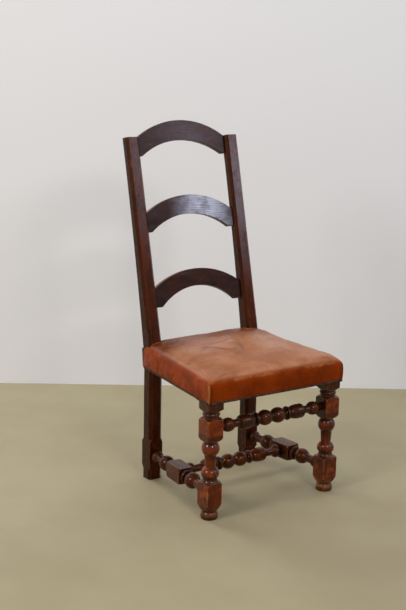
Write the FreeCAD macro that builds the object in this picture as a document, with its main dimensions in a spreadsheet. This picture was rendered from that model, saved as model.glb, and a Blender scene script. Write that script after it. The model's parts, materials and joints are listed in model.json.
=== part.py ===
import FreeCAD, Part
import math
import os
import re
import Sketcher

# A joined high-back chair: two sawn rear posts that lean back above the seat,
# three arched slats between them, two turned front legs, a turned H of low
# stretchers, one turned front stretcher, and a leather seat over four rails.
# Lengths are millimetres. X runs across the chair, the sitter's left is +X,
# the chair faces -Y, and Z is up from the floor.

SIZES = [
    # plan of the frame, between the middles of the legs
    ("front_spacing", 459.5),
    ("rear_spacing", 396.6),
    ("seat_depth", 387.9),
    # front legs: a square bar with turned stretches between square blocks
    ("leg_bar", 56.0),
    ("leg_arris", 2.2),
    ("leg_height", 430.0),
    ("lathe_clear", 14.0),
    ("foot_base_radius", 25.5),
    ("foot_radius", 27.5),
    ("foot_edge_radius", 24.5),
    ("foot_groove_radius", 23.2),
    ("collar_radius", 29.0),
    ("low_groove_radius", 22.0),
    ("leg_ball_radius", 28.0),
    ("neck_low_radius", 16.2),
    ("neck_high_radius", 18.8),
    ("high_groove_radius", 20.5),
    ("throat_radius", 24.5),
    ("leg_ring_radius", 27.2),
    # rear posts: sawn bars, upright to the seat and raked above it
    ("post_width", 49.3),
    ("post_depth", 49.2),
    ("post_chamfer", 9.3),
    ("post_height", 1130.0),
    ("kink_rise", 16.7),
    ("back_rake", 163.7),
    ("post_kink_depth", 55.0),
    ("post_middle_depth", 39.8),
    ("post_top_depth", 35.5),
    ("foot_square_below", 38.0),
    ("foot_square_above", 44.0),
    ("chamfer_stop", 13.0),
    ("seat_stop", 8.0),
    # back slats: flat arched boards, set square between the raked posts
    ("slat_thickness", 18.5),
    ("slat_setback", 16.5),
    ("slat_end_height", 60.5),
    ("slat_top_rise", 57.0),
    ("slat_tenon_thickness", 9.0),
    ("slat_tenon_length", 26.0),
    ("slat_tenon_margin", 9.0),
    ("crest_foot_length", 14.0),
    ("crest_rise", 51.0),
    ("middle_foot_length", 20.0),
    ("middle_rise", 54.2),
    ("lower_foot_length", 27.0),
    ("lower_rise", 59.4),
    # seat rails and their tenons
    ("rail_thickness", 24.0),
    ("rail_inset", 1.5),
    ("front_rail_depth", 54.0),
    ("side_rail_depth", 44.0),
    ("back_rail_inset", 5.5),
    ("rail_tenon_thickness", 10.0),
    ("rail_tenon_length", 22.0),
    ("rail_tenon_margin", 8.0),
    ("joint_clearance", 0.1),
    # turned stretchers
    ("ball_length", 48.5),
    ("ball_radius", 24.8),
    ("ball_joint_radius", 13.0),
    ("ball_joint_width", 4.0),
    ("cove_radius", 14.0),
    ("ring_centre", 61.0),
    ("ring_width", 9.5),
    ("ring_radius", 22.3),
    ("ring_side_radius", 19.2),
    ("vase_start", 71.0),
    ("vase_start_radius", 17.0),
    ("vase_widest", 110.0),
    ("vase_radius", 23.2),
    ("vase_end", 127.0),
    ("neck_radius", 12.6),
    ("front_bead_start", 147.0),
    ("front_bead_end", 187.0),
    ("cross_bead_start", 159.5),
    ("cross_bead_end", 184.5),
    ("bead_radius", 22.2),
    ("round_tenon_radius", 9.0),
    ("round_tenon_length", 22.0),
    ("stretcher_bar", 52.0),
    ("stretcher_arris", 1.8),
    ("stretcher_block", 62.0),
    ("block_shoulder", 12.0),
    ("side_cove_radius", 17.0),
    ("side_ring_centre", 52.0),
    ("side_ring_width", 11.0),
    ("side_ring_radius", 23.5),
    ("side_ring_side_radius", 20.2),
    ("side_ball_centre", 87.0),
    ("side_ball_length", 46.0),
    ("side_ball_radius", 25.8),
    ("side_neck_radius", 13.6),
    ("side_bead_start", 140.5),
    ("side_bead_end", 164.0),
    ("side_bead_radius", 20.6),
    # pegs
    ("peg_radius", 3.2),
    ("peg_depth", 34.0),
    ("peg_edge", 14.5),
    # seat: webbing, hessian, stuffing, wadding and leather
    ("webbing_width", 52.0),
    ("webbing_thickness", 1.8),
    ("webbing_inset", 4.0),
    ("hessian_thickness", 1.2),
    ("hessian_inset", 6.0),
    ("soft_clearance", 0.3),
    ("leather_thickness", 2.0),
    ("leather_overhang", 7.5),
    ("leather_post_overhang", 2.4),
    ("leather_rear_inset", 1.0),
    ("leather_hang", 57.0),
    ("leather_height", 80.0),
    ("leather_slope", 9.0),
    ("band_height", 7.5),
    ("band_thickness", 1.3),
    ("band_end_inset", 5.0),
]

# Levels up a front leg, and of the stretchers in it, as shares of its height
LEG_LEVEL_SHARES = {
    "foot_top": 0.050,
    "foot_groove_top": 0.063,
    "low_block_bottom": 0.140,
    "low_stretcher": 0.195,
    "low_block_top": 0.242,
    "collar": 0.274,
    "low_groove": 0.305,
    "low_ball": 0.343,
    "low_ball_top": 0.385,
    "high_ball_bottom": 0.477,
    "high_ball": 0.523,
    "high_ball_top": 0.570,
    "high_groove": 0.580,
    "high_block_bottom": 0.638,
    "front_stretcher": 0.674,
    "high_block_top": 0.708,
    "throat_bottom": 0.750,
    "ring_bottom": 0.7675,
    "ring": 0.7795,
    "ring_top": 0.7915,
    "throat_top": 0.801,
    "head_bottom": 0.823,
}
# Where each slat's foot is, as a share of the raked length of the posts
CREST_FOOT_SHARE = 0.9116
MIDDLE_FOOT_SHARE = 0.5522
LOWER_FOOT_SHARE = 0.1964
# Straps of webbing in each layer
STRAPS = 4
# How far an arc bows out, as a share of the line between its ends
ROUND_SHARE = 0.2
HOLLOW_SHARE = 0.12
SHALLOW_SHARE = 0.06
# The seat cushion from its lower edge to its crown: how high the section is,
# as a share of the leather's height; how far it is drawn in at the front and
# sides and at the rear, as shares of half the seat's lesser width; and its
# corner radius, as a share of half its own depth
CUSHION_SHARES = [
    (0.000, 0.0195, 0.0000, 0.022),
    (0.240, 0.0057, 0.0000, 0.050),
    (0.540, 0.0000, 0.0014, 0.080),
    (0.740, 0.0064, 0.0090, 0.086),
    (0.880, 0.0286, 0.0286, 0.105),
    (0.965, 0.0716, 0.0680, 0.150),
    (1.025, 0.1430, 0.1360, 0.230),
    (1.090, 0.2860, 0.2720, 0.370),
    (1.150, 0.4830, 0.4580, 0.540),
    (1.195, 0.6980, 0.6620, 0.700),
    (1.218, 0.8900, 0.8400, 0.860),
]
# How much more the rear rises than the front, as a share of the height
CROWN_TILT_SHARE = 0.11

Vector = FreeCAD.Vector
document = FreeCAD.newDocument("Chair")
sheet = document.addObject("Spreadsheet::Sheet", "Sizes")
for row, (alias, number) in enumerate(SIZES, start=1):
    sheet.set("A%d" % row, alias)
    sheet.set("B%d" % row, str(number))
    sheet.setAlias("B%d" % row, alias)
document.recompute()

ALIAS = re.compile(r"\b(%s)\b" % "|".join(alias for alias, _ in SIZES))
SIDES = (("left", 1), ("right", -1))
nodes = []


def formula(text):
    """Write a size formula as an expression that reads the sheet."""
    return ALIAS.sub(r"Sizes.\1", str(text))


def value(text):
    """Work out a size formula as a number."""
    result = sheet.evalExpression(formula(text))
    return float(getattr(result, "Value", result))


def bind(thing, **formulas):
    """Bind properties to size formulas; Base_x stands for Placement.Base.x."""
    for name, text in formulas.items():
        path = name.replace("Base_", "Placement.Base.")
        thing.setExpression(path, formula(text))
    return thing


def turn(thing, axis, angle):
    """Turn a piece about an axis through its own origin, by a bound angle."""
    thing.Placement = FreeCAD.Placement(Vector(), FreeCAD.Rotation(axis, value(angle)))
    thing.setExpression("Placement.Rotation.Angle", formula(angle))
    return thing


def finish(thing, name):
    """Label a finished sub-part, which also names its file."""
    thing.Label = name
    nodes.append(thing)
    return thing


# Places that several pieces follow, worked out from the sizes

LEVELS = {name: "(leg_height * %s)" % share for name, share in LEG_LEVEL_SHARES.items()}
FRONT_RAIL_BOTTOM = "(leg_height - front_rail_depth)"
SIDE_RAIL_BOTTOM = "(leg_height - side_rail_depth)"
LEATHER_BOTTOM = "(leg_height - leather_hang)"
POST_KINK = "(leg_height + kink_rise)"
RAKE = "atan(back_rake / (post_height - %s))" % POST_KINK
RAKED = "((post_height - %s) / cos(%s))" % (POST_KINK, RAKE)
CREST_FOOT = "(%s * %s)" % (RAKED, CREST_FOOT_SHARE)
MIDDLE_FOOT = "(%s * %s)" % (RAKED, MIDDLE_FOOT_SHARE)
LOWER_FOOT = "(%s * %s)" % (RAKED, LOWER_FOOT_SHARE)
FOOT_SQUARE_BOTTOM = "(%s - foot_square_below)" % LEVELS["low_stretcher"]
FOOT_SQUARE_TOP = "(%s + foot_square_above)" % LEVELS["low_stretcher"]
SPLAY = "atan((front_spacing - rear_spacing) / 2 / seat_depth)"
FRONT_REACH = "(leg_bar / 2 + leather_overhang)"
CREST_TOP = "(%s + slat_end_height + slat_top_rise)" % CREST_FOOT
BACK_REACH = ("(seat_depth - post_depth / 2 + %s * sin(%s) + (slat_setback + slat_thickness) * cos(%s))"
              % (CREST_TOP, RAKE, RAKE))
# The origin lies midway between the front of the leather and the crest's back
FRONT_Y = "((%s - %s) / 2)" % (FRONT_REACH, BACK_REACH)
REAR_Y = "(%s + seat_depth)" % FRONT_Y
MIDDLE_Y = "(%s + seat_depth / 2)" % FRONT_Y
LEG_BACK_Y = "(%s + leg_bar / 2)" % FRONT_Y
POST_FRONT_Y = "(%s - post_depth / 2)" % REAR_Y
POST_BACK_Y = "(%s + post_depth / 2)" % REAR_Y
MIDDLE_X = "((front_spacing + rear_spacing) / 4)"
LEG_GAP_HALF = "(front_spacing / 2 - leg_bar / 2)"
POST_GAP_HALF = "(rear_spacing / 2 - post_width / 2)"
LEG_LATHE = "(leg_bar / 2 + lathe_clear)"
BAR_LATHE = "(stretcher_bar / 2 + lathe_clear)"
SIDE_REACH = "(seat_depth / 2 / cos(%s))" % SPLAY
BLOCK_FACE_X = "(%s - stretcher_bar / 2 / cos(%s))" % (MIDDLE_X, SPLAY)


# Solids and cuts that many pieces share

def block(name, low, size):
    """A box from its lowest corner and its three lengths."""
    box = document.addObject("Part::Box", name)
    bind(box, Length=size[0], Width=size[1], Height=size[2])
    return bind(box, Base_x=low[0], Base_y=low[1], Base_z=low[2])


def rod(name, radius, length, start, axis, angle):
    """A cylinder from a start point, turned from upright about one axis."""
    cylinder = document.addObject("Part::Cylinder", name)
    cylinder.Placement = FreeCAD.Placement(Vector(), FreeCAD.Rotation(axis, angle))
    bind(cylinder, Radius=radius, Height=length)
    return bind(cylinder, Base_x=start[0], Base_y=start[1], Base_z=start[2])


def fuse(name, shapes):
    """Join solids into one."""
    joined = document.addObject("Part::MultiFuse", name)
    joined.Shapes = shapes
    return joined


def cut(name, base, tools):
    """Cut one or more tools from a solid."""
    result = document.addObject("Part::Cut", name)
    result.Base = base
    result.Tool = tools[0] if len(tools) == 1 else fuse(name + "_tools", tools)
    return result


def common(name, base, tool):
    """Keep what two solids share."""
    result = document.addObject("Part::Common", name)
    result.Base = base
    result.Tool = tool
    return result


def group(name, shapes):
    """Keep separate solids together in one sub-part."""
    together = document.addObject("Part::Compound", name)
    together.Links = shapes
    return together


def new_body(name):
    """Start a body."""
    return document.addObject("PartDesign::Body", name)


def new_sketch(body, name, role):
    """Start a sketch on one of the body's own origin planes."""
    sketch = body.newObject("Sketcher::SketchObject", name)
    plane = next(item for item in body.Origin.OriginFeatures if item.Role == role)
    sketch.AttachmentSupport = [(plane, "")]
    sketch.MapMode = "FlatFace"
    return sketch


def place_point(sketch, geometry, position, across, up):
    """Bind one sketch point to its two size formulas."""
    for kind, text, axis in (("DistanceX", across, -2), ("DistanceY", up, -1)):
        if text == 0:
            sketch.addConstraint(Sketcher.Constraint("PointOnObject", geometry, position, axis))
            continue
        number = sketch.addConstraint(
            Sketcher.Constraint(kind, -1, 1, geometry, position, value(text)))
        sketch.setExpression("Constraints[%d]" % number, formula(text))


def with_arc_points(corners):
    """Turn each corner's bow into the point that its arc passes through."""
    result = []
    for index, corner in enumerate(corners):
        if len(corner) == 3:
            x0, y0 = corners[index - 1][:2]
            x1, y1, bow = corner
            through_x = "((%s + %s) / 2 - %s * (%s - %s))" % (x0, x1, bow, y1, y0)
            through_y = "((%s + %s) / 2 + %s * (%s - %s))" % (y0, y1, bow, x1, x0)
            corner = (x1, y1, through_x, through_y)
        result.append(corner)
    return result


def outline(body, name, role, corners):
    """Draw a closed outline on an origin plane of its body.

    A corner is (x, y) at the end of a straight line, (x, y, bow) at the end
    of an arc that bows out to the left of its way by a share of its chord, or
    (x, y, through x, through y) at the end of an arc through a point.
    """
    sketch = new_sketch(body, name, role)
    corners = with_arc_points(corners)
    points = [Vector(value(corner[0]), value(corner[1]), 0) for corner in corners]
    ends = []
    for index, corner in enumerate(corners):
        start, end = points[index - 1], points[index]
        if len(corner) == 2:
            sketch.addGeometry(Part.LineSegment(start, end))
        else:
            through = Vector(value(corner[2]), value(corner[3]), 0)
            if (through - start).cross(end - through).z < 0:
                start, end = end, start
            sketch.addGeometry(Part.Arc(start, through, end))
        drawn = sketch.Geometry[index]
        goal = points[index]
        forward = drawn.EndPoint.distanceToPoint(goal) < drawn.StartPoint.distanceToPoint(goal)
        ends.append((1, 2) if forward else (2, 1))
    for index in range(len(corners)):
        after = (index + 1) % len(corners)
        sketch.addConstraint(
            Sketcher.Constraint("Coincident", index, ends[index][1], after, ends[after][0]))
    for index, corner in enumerate(corners):
        place_point(sketch, index, ends[index][1], corner[0], corner[1])
        if len(corner) == 4:
            through = Vector(value(corner[2]), value(corner[3]), 0)
            helper = sketch.addGeometry(Part.Point(through), True)
            place_point(sketch, helper, 1, corner[2], corner[3])
            sketch.addConstraint(Sketcher.Constraint("PointOnObject", helper, 1, index))
    return sketch


def mirrored(half):
    """Continue half an outline through its first corner to the other side."""
    other = []
    for index in range(len(half) - 1, -1, -1):
        x, y = half[index][:2]
        reached_by = half[index + 1][2:] if index + 1 < len(half) else ()
        if len(reached_by) == 2:
            reached_by = ("-(%s)" % reached_by[0], reached_by[1])
        other.append(("-(%s)" % x if x != 0 else 0, y) + tuple(reached_by))
    return other + half[1:]


def pad(body, sketch, length, name, symmetric=True):
    """Extrude a sketch to both sides of its plane, or along its normal."""
    feature = body.newObject("PartDesign::Pad", name)
    feature.Profile = sketch
    if symmetric:
        feature.SideType = "Symmetric"
    return bind(feature, Length=length)


def square(half):
    """The corners of a square about the origin."""
    return [("-" + half, "-" + half), (half, "-" + half), (half, half), ("-" + half, half)]


def ease(body, feature, size, name, shortest):
    """Chamfer the edges of a feature that are longer than a size."""
    document.recompute()
    names = ["Edge%d" % (number + 1) for number, edge in enumerate(feature.Shape.Edges)
             if edge.Length > value(shortest)]
    chamfer = body.newObject("PartDesign::Chamfer", name)
    chamfer.Base = (feature, names)
    return bind(chamfer, Size=size)


def lathe(body, corners, axis, name):
    """Turn waste away about an axis of the waste's own outline."""
    sketch = outline(body, name + "_waste", "XZ_Plane", corners)
    groove = body.newObject("PartDesign::Groove", name)
    groove.Profile = sketch
    groove.ReferenceAxis = (sketch, [axis])
    return groove


def round_bar(name, radius, length):
    """A round bar along X about the origin, in a body that can be placed."""
    body = new_body(name)
    sketch = new_sketch(body, name + "_circle", "YZ_Plane")
    sketch.addGeometry(Part.Circle(Vector(), Vector(0, 0, 1), value(radius)))
    sketch.addConstraint(Sketcher.Constraint("Coincident", 0, 3, -1, 1))
    number = sketch.addConstraint(Sketcher.Constraint("Radius", 0, value(radius)))
    sketch.setExpression("Constraints[%d]" % number, formula(radius))
    pad(body, sketch, length, name + "_length")
    return body


def side_block(name, side, across, along, up):
    """A box in a side's own frame: outward, from front to rear, and up."""
    angle = "(%d * %s)" % (side, SPLAY)
    start = across[0] if side > 0 else "(-(%s))" % across[1]
    box = document.addObject("Part::Box", name)
    turn(box, Vector(0, 0, 1), angle)
    bind(box, Length="(%s) - (%s)" % (across[1], across[0]),
         Width="(%s) - (%s)" % (along[1], along[0]),
         Height="(%s) - (%s)" % (up[1], up[0]))
    return bind(box, Base_x="%d * %s + (%s) * cos(%s) - (%s) * sin(%s)"
                % (side, MIDDLE_X, start, angle, along[0], angle),
                Base_y="%s + (%s) * sin(%s) + (%s) * cos(%s)"
                % (MIDDLE_Y, start, angle, along[0], angle),
                Base_z=up[0])


def between(name, shape, front, back):
    """Keep the part of a shape between two planes across the chair."""
    slab = block(name + "_slab", ("-front_spacing", front, 0),
                 ("2 * front_spacing", "(%s) - (%s)" % (back, front), "post_height"))
    return common(name, shape, slab)


# Rear posts

def post_side(body, name, corners, width):
    """Extrude a side view of a post across its width."""
    sketch = outline(body, name + "_side", "YZ_Plane", corners)
    return pad(body, sketch, width, name + "_width")


def post_foot(name):
    """The upright part: chamfered, but square at the stretcher and the seat."""
    bar = new_body(name + "_bar")
    post_side(bar, name + "_bar", [
        (0, 0), ("post_depth", 0), ("post_depth", SIDE_RAIL_BOTTOM),
        ("post_kink_depth", POST_KINK), (0, POST_KINK)], "post_width")
    whole = "(post_width + post_depth) / 2"
    cut_back = "(%s - post_chamfer)" % whole
    kink = "(post_width / 2 + post_kink_depth - post_depth / 2)"
    levels = [
        (cut_back, 0), (cut_back, FOOT_SQUARE_BOTTOM + " - chamfer_stop"),
        (whole, FOOT_SQUARE_BOTTOM), (whole, FOOT_SQUARE_TOP),
        (cut_back, FOOT_SQUARE_TOP + " + chamfer_stop"),
        (cut_back, SIDE_RAIL_BOTTOM + " - seat_stop"),
        (whole, SIDE_RAIL_BOTTOM), (kink, POST_KINK)]
    diamonds = []
    for number, (half, height) in enumerate(levels):
        diamond = document.addObject("Part::RegularPolygon", "%s_diamond_%d" % (name, number))
        diamond.Polygon = 4
        diamonds.append(bind(diamond, Circumradius=half, Base_y="post_depth / 2", Base_z=height))
    hull = document.addObject("Part::Loft", name + "_chamfers")
    hull.Sections = diamonds
    hull.Solid = True
    hull.Ruled = True
    return common(name + "_foot", bar, hull)


def post_back(name):
    """The raked part: straight in front, a hollow curve behind."""
    body = new_body(name + "_back")
    solid = post_side(body, name + "_back", [
        (0, POST_KINK), ("post_kink_depth", POST_KINK),
        ("back_rake + post_top_depth * cos(%s)" % RAKE,
         "post_height - post_top_depth * sin(%s)" % RAKE,
         "back_rake / 2 + post_middle_depth", "(%s + post_height) / 2" % POST_KINK),
        ("back_rake", "post_height")], "post_width")
    ease(body, solid, "post_chamfer", name + "_chamfer", "post_kink_depth + post_chamfer")
    return body


def post_blank(name, side):
    """A whole post without its mortises, in its place."""
    joined = fuse(name + "_blank", [post_foot(name), post_back(name)])
    return bind(joined, Base_x="%d * rear_spacing / 2" % side, Base_y=POST_FRONT_Y)


# Slats

SLATS = [
    ("crest_slat", CREST_FOOT, "crest_foot_length", "crest_rise"),
    ("middle_slat", MIDDLE_FOOT, "middle_foot_length", "middle_rise"),
    ("lower_slat", LOWER_FOOT, "lower_foot_length", "lower_rise"),
]
SLAT_MIDDLE = "slat_setback + slat_thickness / 2"


def in_rake(thing, depth):
    """Stand a piece in the raked plane, a depth behind the posts' fronts."""
    turn(thing, Vector(-1, 0, 0), RAKE)
    return bind(thing, Base_y="%s + (%s) * cos(%s)" % (POST_FRONT_Y, depth, RAKE),
                Base_z="%s - (%s) * sin(%s)" % (POST_KINK, depth, RAKE))


def slat_tenons(name, foot, clearance):
    """The bar that makes both tenons, or with clearance both mortises."""
    body = new_body(name)
    reach = "(%s + slat_tenon_length + %s)" % (POST_GAP_HALF, clearance)
    low = "(%s + slat_tenon_margin - %s)" % (foot, clearance)
    high = "(%s + slat_end_height - slat_tenon_margin + %s)" % (foot, clearance)
    corners = [("-" + reach, low), (reach, low), (reach, high), ("-" + reach, high)]
    pad(body, outline(body, name + "_face", "XZ_Plane", corners),
        "slat_tenon_thickness + 2 * %s" % clearance, name + "_thickness")
    return in_rake(body, SLAT_MIDDLE)


def slat_board(name, foot, foot_length, rise):
    """The arched board between the posts."""
    body = new_body(name + "_board")
    end = POST_GAP_HALF
    inner = "(%s - %s)" % (POST_GAP_HALF, foot_length)
    top = "(%s + slat_end_height)" % foot
    corners = [
        (end, foot), (end, top), ("-" + end, top, 0, "%s + slat_top_rise" % top),
        ("-" + end, foot), ("-" + inner, foot), (inner, foot, 0, "%s + %s" % (foot, rise))]
    pad(body, outline(body, name + "_face", "XZ_Plane", corners), "slat_thickness",
        name + "_thickness")
    return in_rake(body, SLAT_MIDDLE)


def ends_of(name, bar, half):
    """Keep a bar's two ends, beyond a half width of clear space."""
    middle = block(name + "_middle", ("-" + half, FRONT_Y, 0),
                   ("2 * " + half, "2 * seat_depth", "2 * post_height"))
    return cut(name, bar, [middle])


# Front legs

LEG_WASTE = {
    "foot": [
        (LEG_LATHE, 0),
        ("foot_base_radius", 0),
        ("foot_edge_radius", LEVELS["foot_top"], "foot_radius", LEVELS["foot_top"] + " / 2"),
        ("foot_edge_radius", LEVELS["foot_groove_top"], "foot_groove_radius",
         "(%s + %s) / 2" % (LEVELS["foot_top"], LEVELS["foot_groove_top"])),
        (LEG_LATHE, LEVELS["low_block_bottom"], -SHALLOW_SHARE),
    ],
    "baluster": [
        (LEG_LATHE, LEVELS["low_block_top"]),
        ("collar_radius", LEVELS["collar"], -ROUND_SHARE),
        ("low_groove_radius", LEVELS["low_groove"], HOLLOW_SHARE),
        ("neck_low_radius", LEVELS["low_ball_top"], "leg_ball_radius", LEVELS["low_ball"]),
        ("neck_high_radius", LEVELS["high_ball_bottom"]),
        ("high_groove_radius", LEVELS["high_ball_top"], "leg_ball_radius", LEVELS["high_ball"]),
        ("high_groove_radius", LEVELS["high_groove"]),
        (LEG_LATHE, LEVELS["high_block_bottom"], -ROUND_SHARE),
    ],
    "throat": [
        (LEG_LATHE, LEVELS["high_block_top"]),
        ("throat_radius", LEVELS["throat_bottom"], -ROUND_SHARE),
        ("throat_radius", LEVELS["ring_bottom"]),
        ("throat_radius", LEVELS["ring_top"], "leg_ring_radius", LEVELS["ring"]),
        ("throat_radius", LEVELS["throat_top"]),
        (LEG_LATHE, LEVELS["head_bottom"]),
    ],
}


def front_leg_blank(name, side):
    """A front leg without its mortises and sockets, in its place."""
    body = new_body(name + "_turned")
    sketch = outline(body, name + "_square", "XY_Plane", square("leg_bar / 2"))
    bar = pad(body, sketch, "leg_height", name + "_bar", symmetric=False)
    ease(body, bar, "leg_arris", name + "_arris", "2 * leg_bar")
    for part, corners in LEG_WASTE.items():
        lathe(body, corners, "V_Axis", "%s_%s" % (name, part))
    return bind(body, Base_x="%d * front_spacing / 2" % side, Base_y=FRONT_Y)


# Stretchers

def turned_half(bead_start, bead_end, end):
    """Half the outline of the front or cross stretcher, from its middle."""
    ring_start = "(ring_centre - ring_width / 2)"
    ring_end = "(ring_centre + ring_width / 2)"
    return [
        (0, "ball_joint_radius"),
        ("ball_joint_width / 2", "ball_joint_radius"),
        ("ball_length", "ball_joint_radius",
         "(ball_length + ball_joint_width / 2) / 2", "ball_radius"),
        (ring_start, "cove_radius", -HOLLOW_SHARE),
        (ring_start, "ring_side_radius"),
        (ring_end, "ring_side_radius", "ring_centre", "ring_radius"),
        (ring_end, "cove_radius"),
        ("vase_start", "vase_start_radius", -HOLLOW_SHARE),
        ("vase_widest", "vase_radius", SHALLOW_SHARE),
        ("vase_end", "neck_radius", ROUND_SHARE),
        (bead_start, "neck_radius"),
        (bead_end, "neck_radius", "(%s + %s) / 2" % (bead_start, bead_end), "bead_radius"),
        (end, "neck_radius"),
    ]


def turned_stretcher(name, half):
    """Revolve a stretcher's outline about X."""
    body = new_body(name + "_turned")
    end = half[-1][0]
    corners = [(end, 0), ("-(%s)" % end, 0)] + mirrored(half)
    revolution = body.newObject("PartDesign::Revolution", name + "_revolved")
    sketch = outline(body, name + "_outline", "XZ_Plane", corners)
    revolution.Profile = sketch
    revolution.ReferenceAxis = (sketch, ["H_Axis"])
    return body


SIDE_RING_START = "(side_ring_centre - side_ring_width / 2)"
SIDE_RING_END = "(side_ring_centre + side_ring_width / 2)"
SIDE_WASTE = [
    ("stretcher_block / 2", BAR_LATHE),
    ("stretcher_block / 2 + block_shoulder", "side_cove_radius", ROUND_SHARE),
    (SIDE_RING_START, "side_cove_radius"),
    (SIDE_RING_START, "side_ring_side_radius"),
    (SIDE_RING_END, "side_ring_side_radius", "side_ring_centre", "side_ring_radius"),
    (SIDE_RING_END, "side_neck_radius"),
    ("side_ball_centre - side_ball_length / 2", "side_neck_radius"),
    ("side_ball_centre + side_ball_length / 2", "side_neck_radius",
     "side_ball_centre", "side_ball_radius"),
    ("side_bead_start", "side_neck_radius"),
    ("side_bead_end", "side_neck_radius",
     "(side_bead_start + side_bead_end) / 2", "side_bead_radius"),
    (SIDE_REACH + " + lathe_clear", "side_neck_radius"),
    (SIDE_REACH + " + lathe_clear", BAR_LATHE),
]


def beside(thing, side):
    """Lay a piece drawn along X between a front leg and a rear post."""
    turn(thing, Vector(0, 0, 1), "90 deg + %d * %s" % (side, SPLAY))
    return bind(thing, Base_x="%d * %s" % (side, MIDDLE_X), Base_y=MIDDLE_Y,
                Base_z=LEVELS["low_stretcher"])


def side_turning(name, side):
    """A side stretcher: a square bar turned on both sides of its block."""
    body = new_body(name + "_turned")
    sketch = outline(body, name + "_square", "YZ_Plane", square("stretcher_bar / 2"))
    bar = pad(body, sketch, "2 * %s" % SIDE_REACH, name + "_bar")
    ease(body, bar, "stretcher_arris", name + "_arris", "2 * stretcher_bar")
    for end, sign in (("rear", ""), ("front", "-")):
        waste = [(sign + "(%s)" % corner[0], corner[1]) + corner[2:] for corner in SIDE_WASTE]
        if sign:
            waste = [reflect_arc(corner) for corner in waste]
        lathe(body, waste, "H_Axis", "%s_%s" % (name, end))
    return beside(body, side)


def reflect_arc(corner):
    """Reflect how a corner is reached, once its place is on the other side."""
    if len(corner) == 3:
        return corner[:2] + (-corner[2],)
    if len(corner) == 4:
        return corner[:2] + ("-(%s)" % corner[2], corner[3])
    return corner


# The soft seat

def rounded(corners, radii):
    """A closed wire round flat corners, each rounded by its own radius."""
    arcs = []
    for index, corner in enumerate(corners):
        to_last = (corners[index - 1] - corner).normalize()
        to_next = (corners[(index + 1) % len(corners)] - corner).normalize()
        half_angle = to_last.getAngle(to_next) / 2
        radius = radii[index]
        middle = (to_last + to_next).normalize()
        centre = corner + middle * (radius / math.sin(half_angle))
        run = radius / math.tan(half_angle)
        arcs.append(Part.Arc(corner + to_last * run, centre - middle * radius,
                             corner + to_next * run))
    edges = []
    for index, arc in enumerate(arcs):
        edges.append(Part.LineSegment(arcs[index - 1].EndPoint, arc.StartPoint).toShape())
        edges.append(arc.toShape())
    return Part.Wire(edges)


def cushion(name, offset):
    """Loft the outside of the seat cushion, drawn in by an offset."""
    half_front = value("front_spacing / 2") + value(FRONT_REACH)
    half_rear = value("rear_spacing / 2 + post_width / 2 + leather_post_overhang")
    front = value("%s - %s" % (FRONT_Y, FRONT_REACH))
    rear = value("%s - leather_rear_inset" % POST_BACK_Y)
    height = value("leather_height")
    lesser_half = min((rear - front) / 2, half_rear)
    drawn_in = value(offset)
    last = len(CUSHION_SHARES) - 1
    wires = []
    for index, (up, at_front, at_rear, corner) in enumerate(CUSHION_SHARES):
        below = CUSHION_SHARES[max(index - 1, 0)]
        above = CUSHION_SHARES[min(index + 1, last)]
        outward = Vector((above[0] - below[0]) * height, (above[1] - below[1]) * lesser_half, 0)
        outward.normalize()
        if index == 0:
            outward = Vector(1, 0, 0)
        if index == last:
            outward = Vector(0, 1, 0)
        level = up * height - drawn_in * outward.y
        front_in = at_front * lesser_half + drawn_in * outward.x
        rear_in = at_rear * lesser_half + drawn_in * outward.x
        near, far = front + front_in, rear - rear_in
        near_half, far_half = half_front - front_in, half_rear - rear_in
        radius = corner * (far - near) / 2
        wire = rounded([Vector(-near_half, near, 0), Vector(near_half, near, 0),
                        Vector(far_half, far, 0), Vector(-far_half, far, 0)],
                       [radius, radius, min(radius, far_half / 2), min(radius, far_half / 2)])
        rise = value("leather_slope") + CROWN_TILT_SHARE * level
        wire.rotate(Vector(0, front, 0), Vector(1, 0, 0), math.degrees(math.atan(rise / (rear - front))))
        wire.translate(Vector(0, 0, value(LEATHER_BOTTOM) + level))
        wires.append(wire)
    solid = document.addObject("Part::Feature", name)
    solid.Shape = Part.makeLoft(wires, True, True)
    return solid


def side_line(out, depth):
    """How far out a side's outer line is at a place along the chair."""
    return "(%s + (%s) / cos(%s) - (%s - %s) * tan(%s))" % (
        MIDDLE_X, out, SPLAY, depth, MIDDLE_Y, SPLAY)


def frame_plate(name, inset, low, thickness):
    """A plate over the four rails, drawn in from their outer faces."""
    out = "(post_width / 2 - rail_inset - %s)" % inset
    front = "(%s - leg_bar / 2 + rail_inset + %s)" % (FRONT_Y, inset)
    back = "(%s - back_rail_inset - %s)" % (POST_BACK_Y, inset)
    corners = []
    for sign, depth in (("-", front), ("", front), ("", back), ("-", back)):
        corners.append((sign + side_line(out, depth), depth))
    body = new_body(name)
    pad(body, outline(body, name + "_plan", "XY_Plane", corners), thickness,
        name + "_thickness", symmetric=False)
    return bind(body, Base_z=low)


# Pieces

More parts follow.
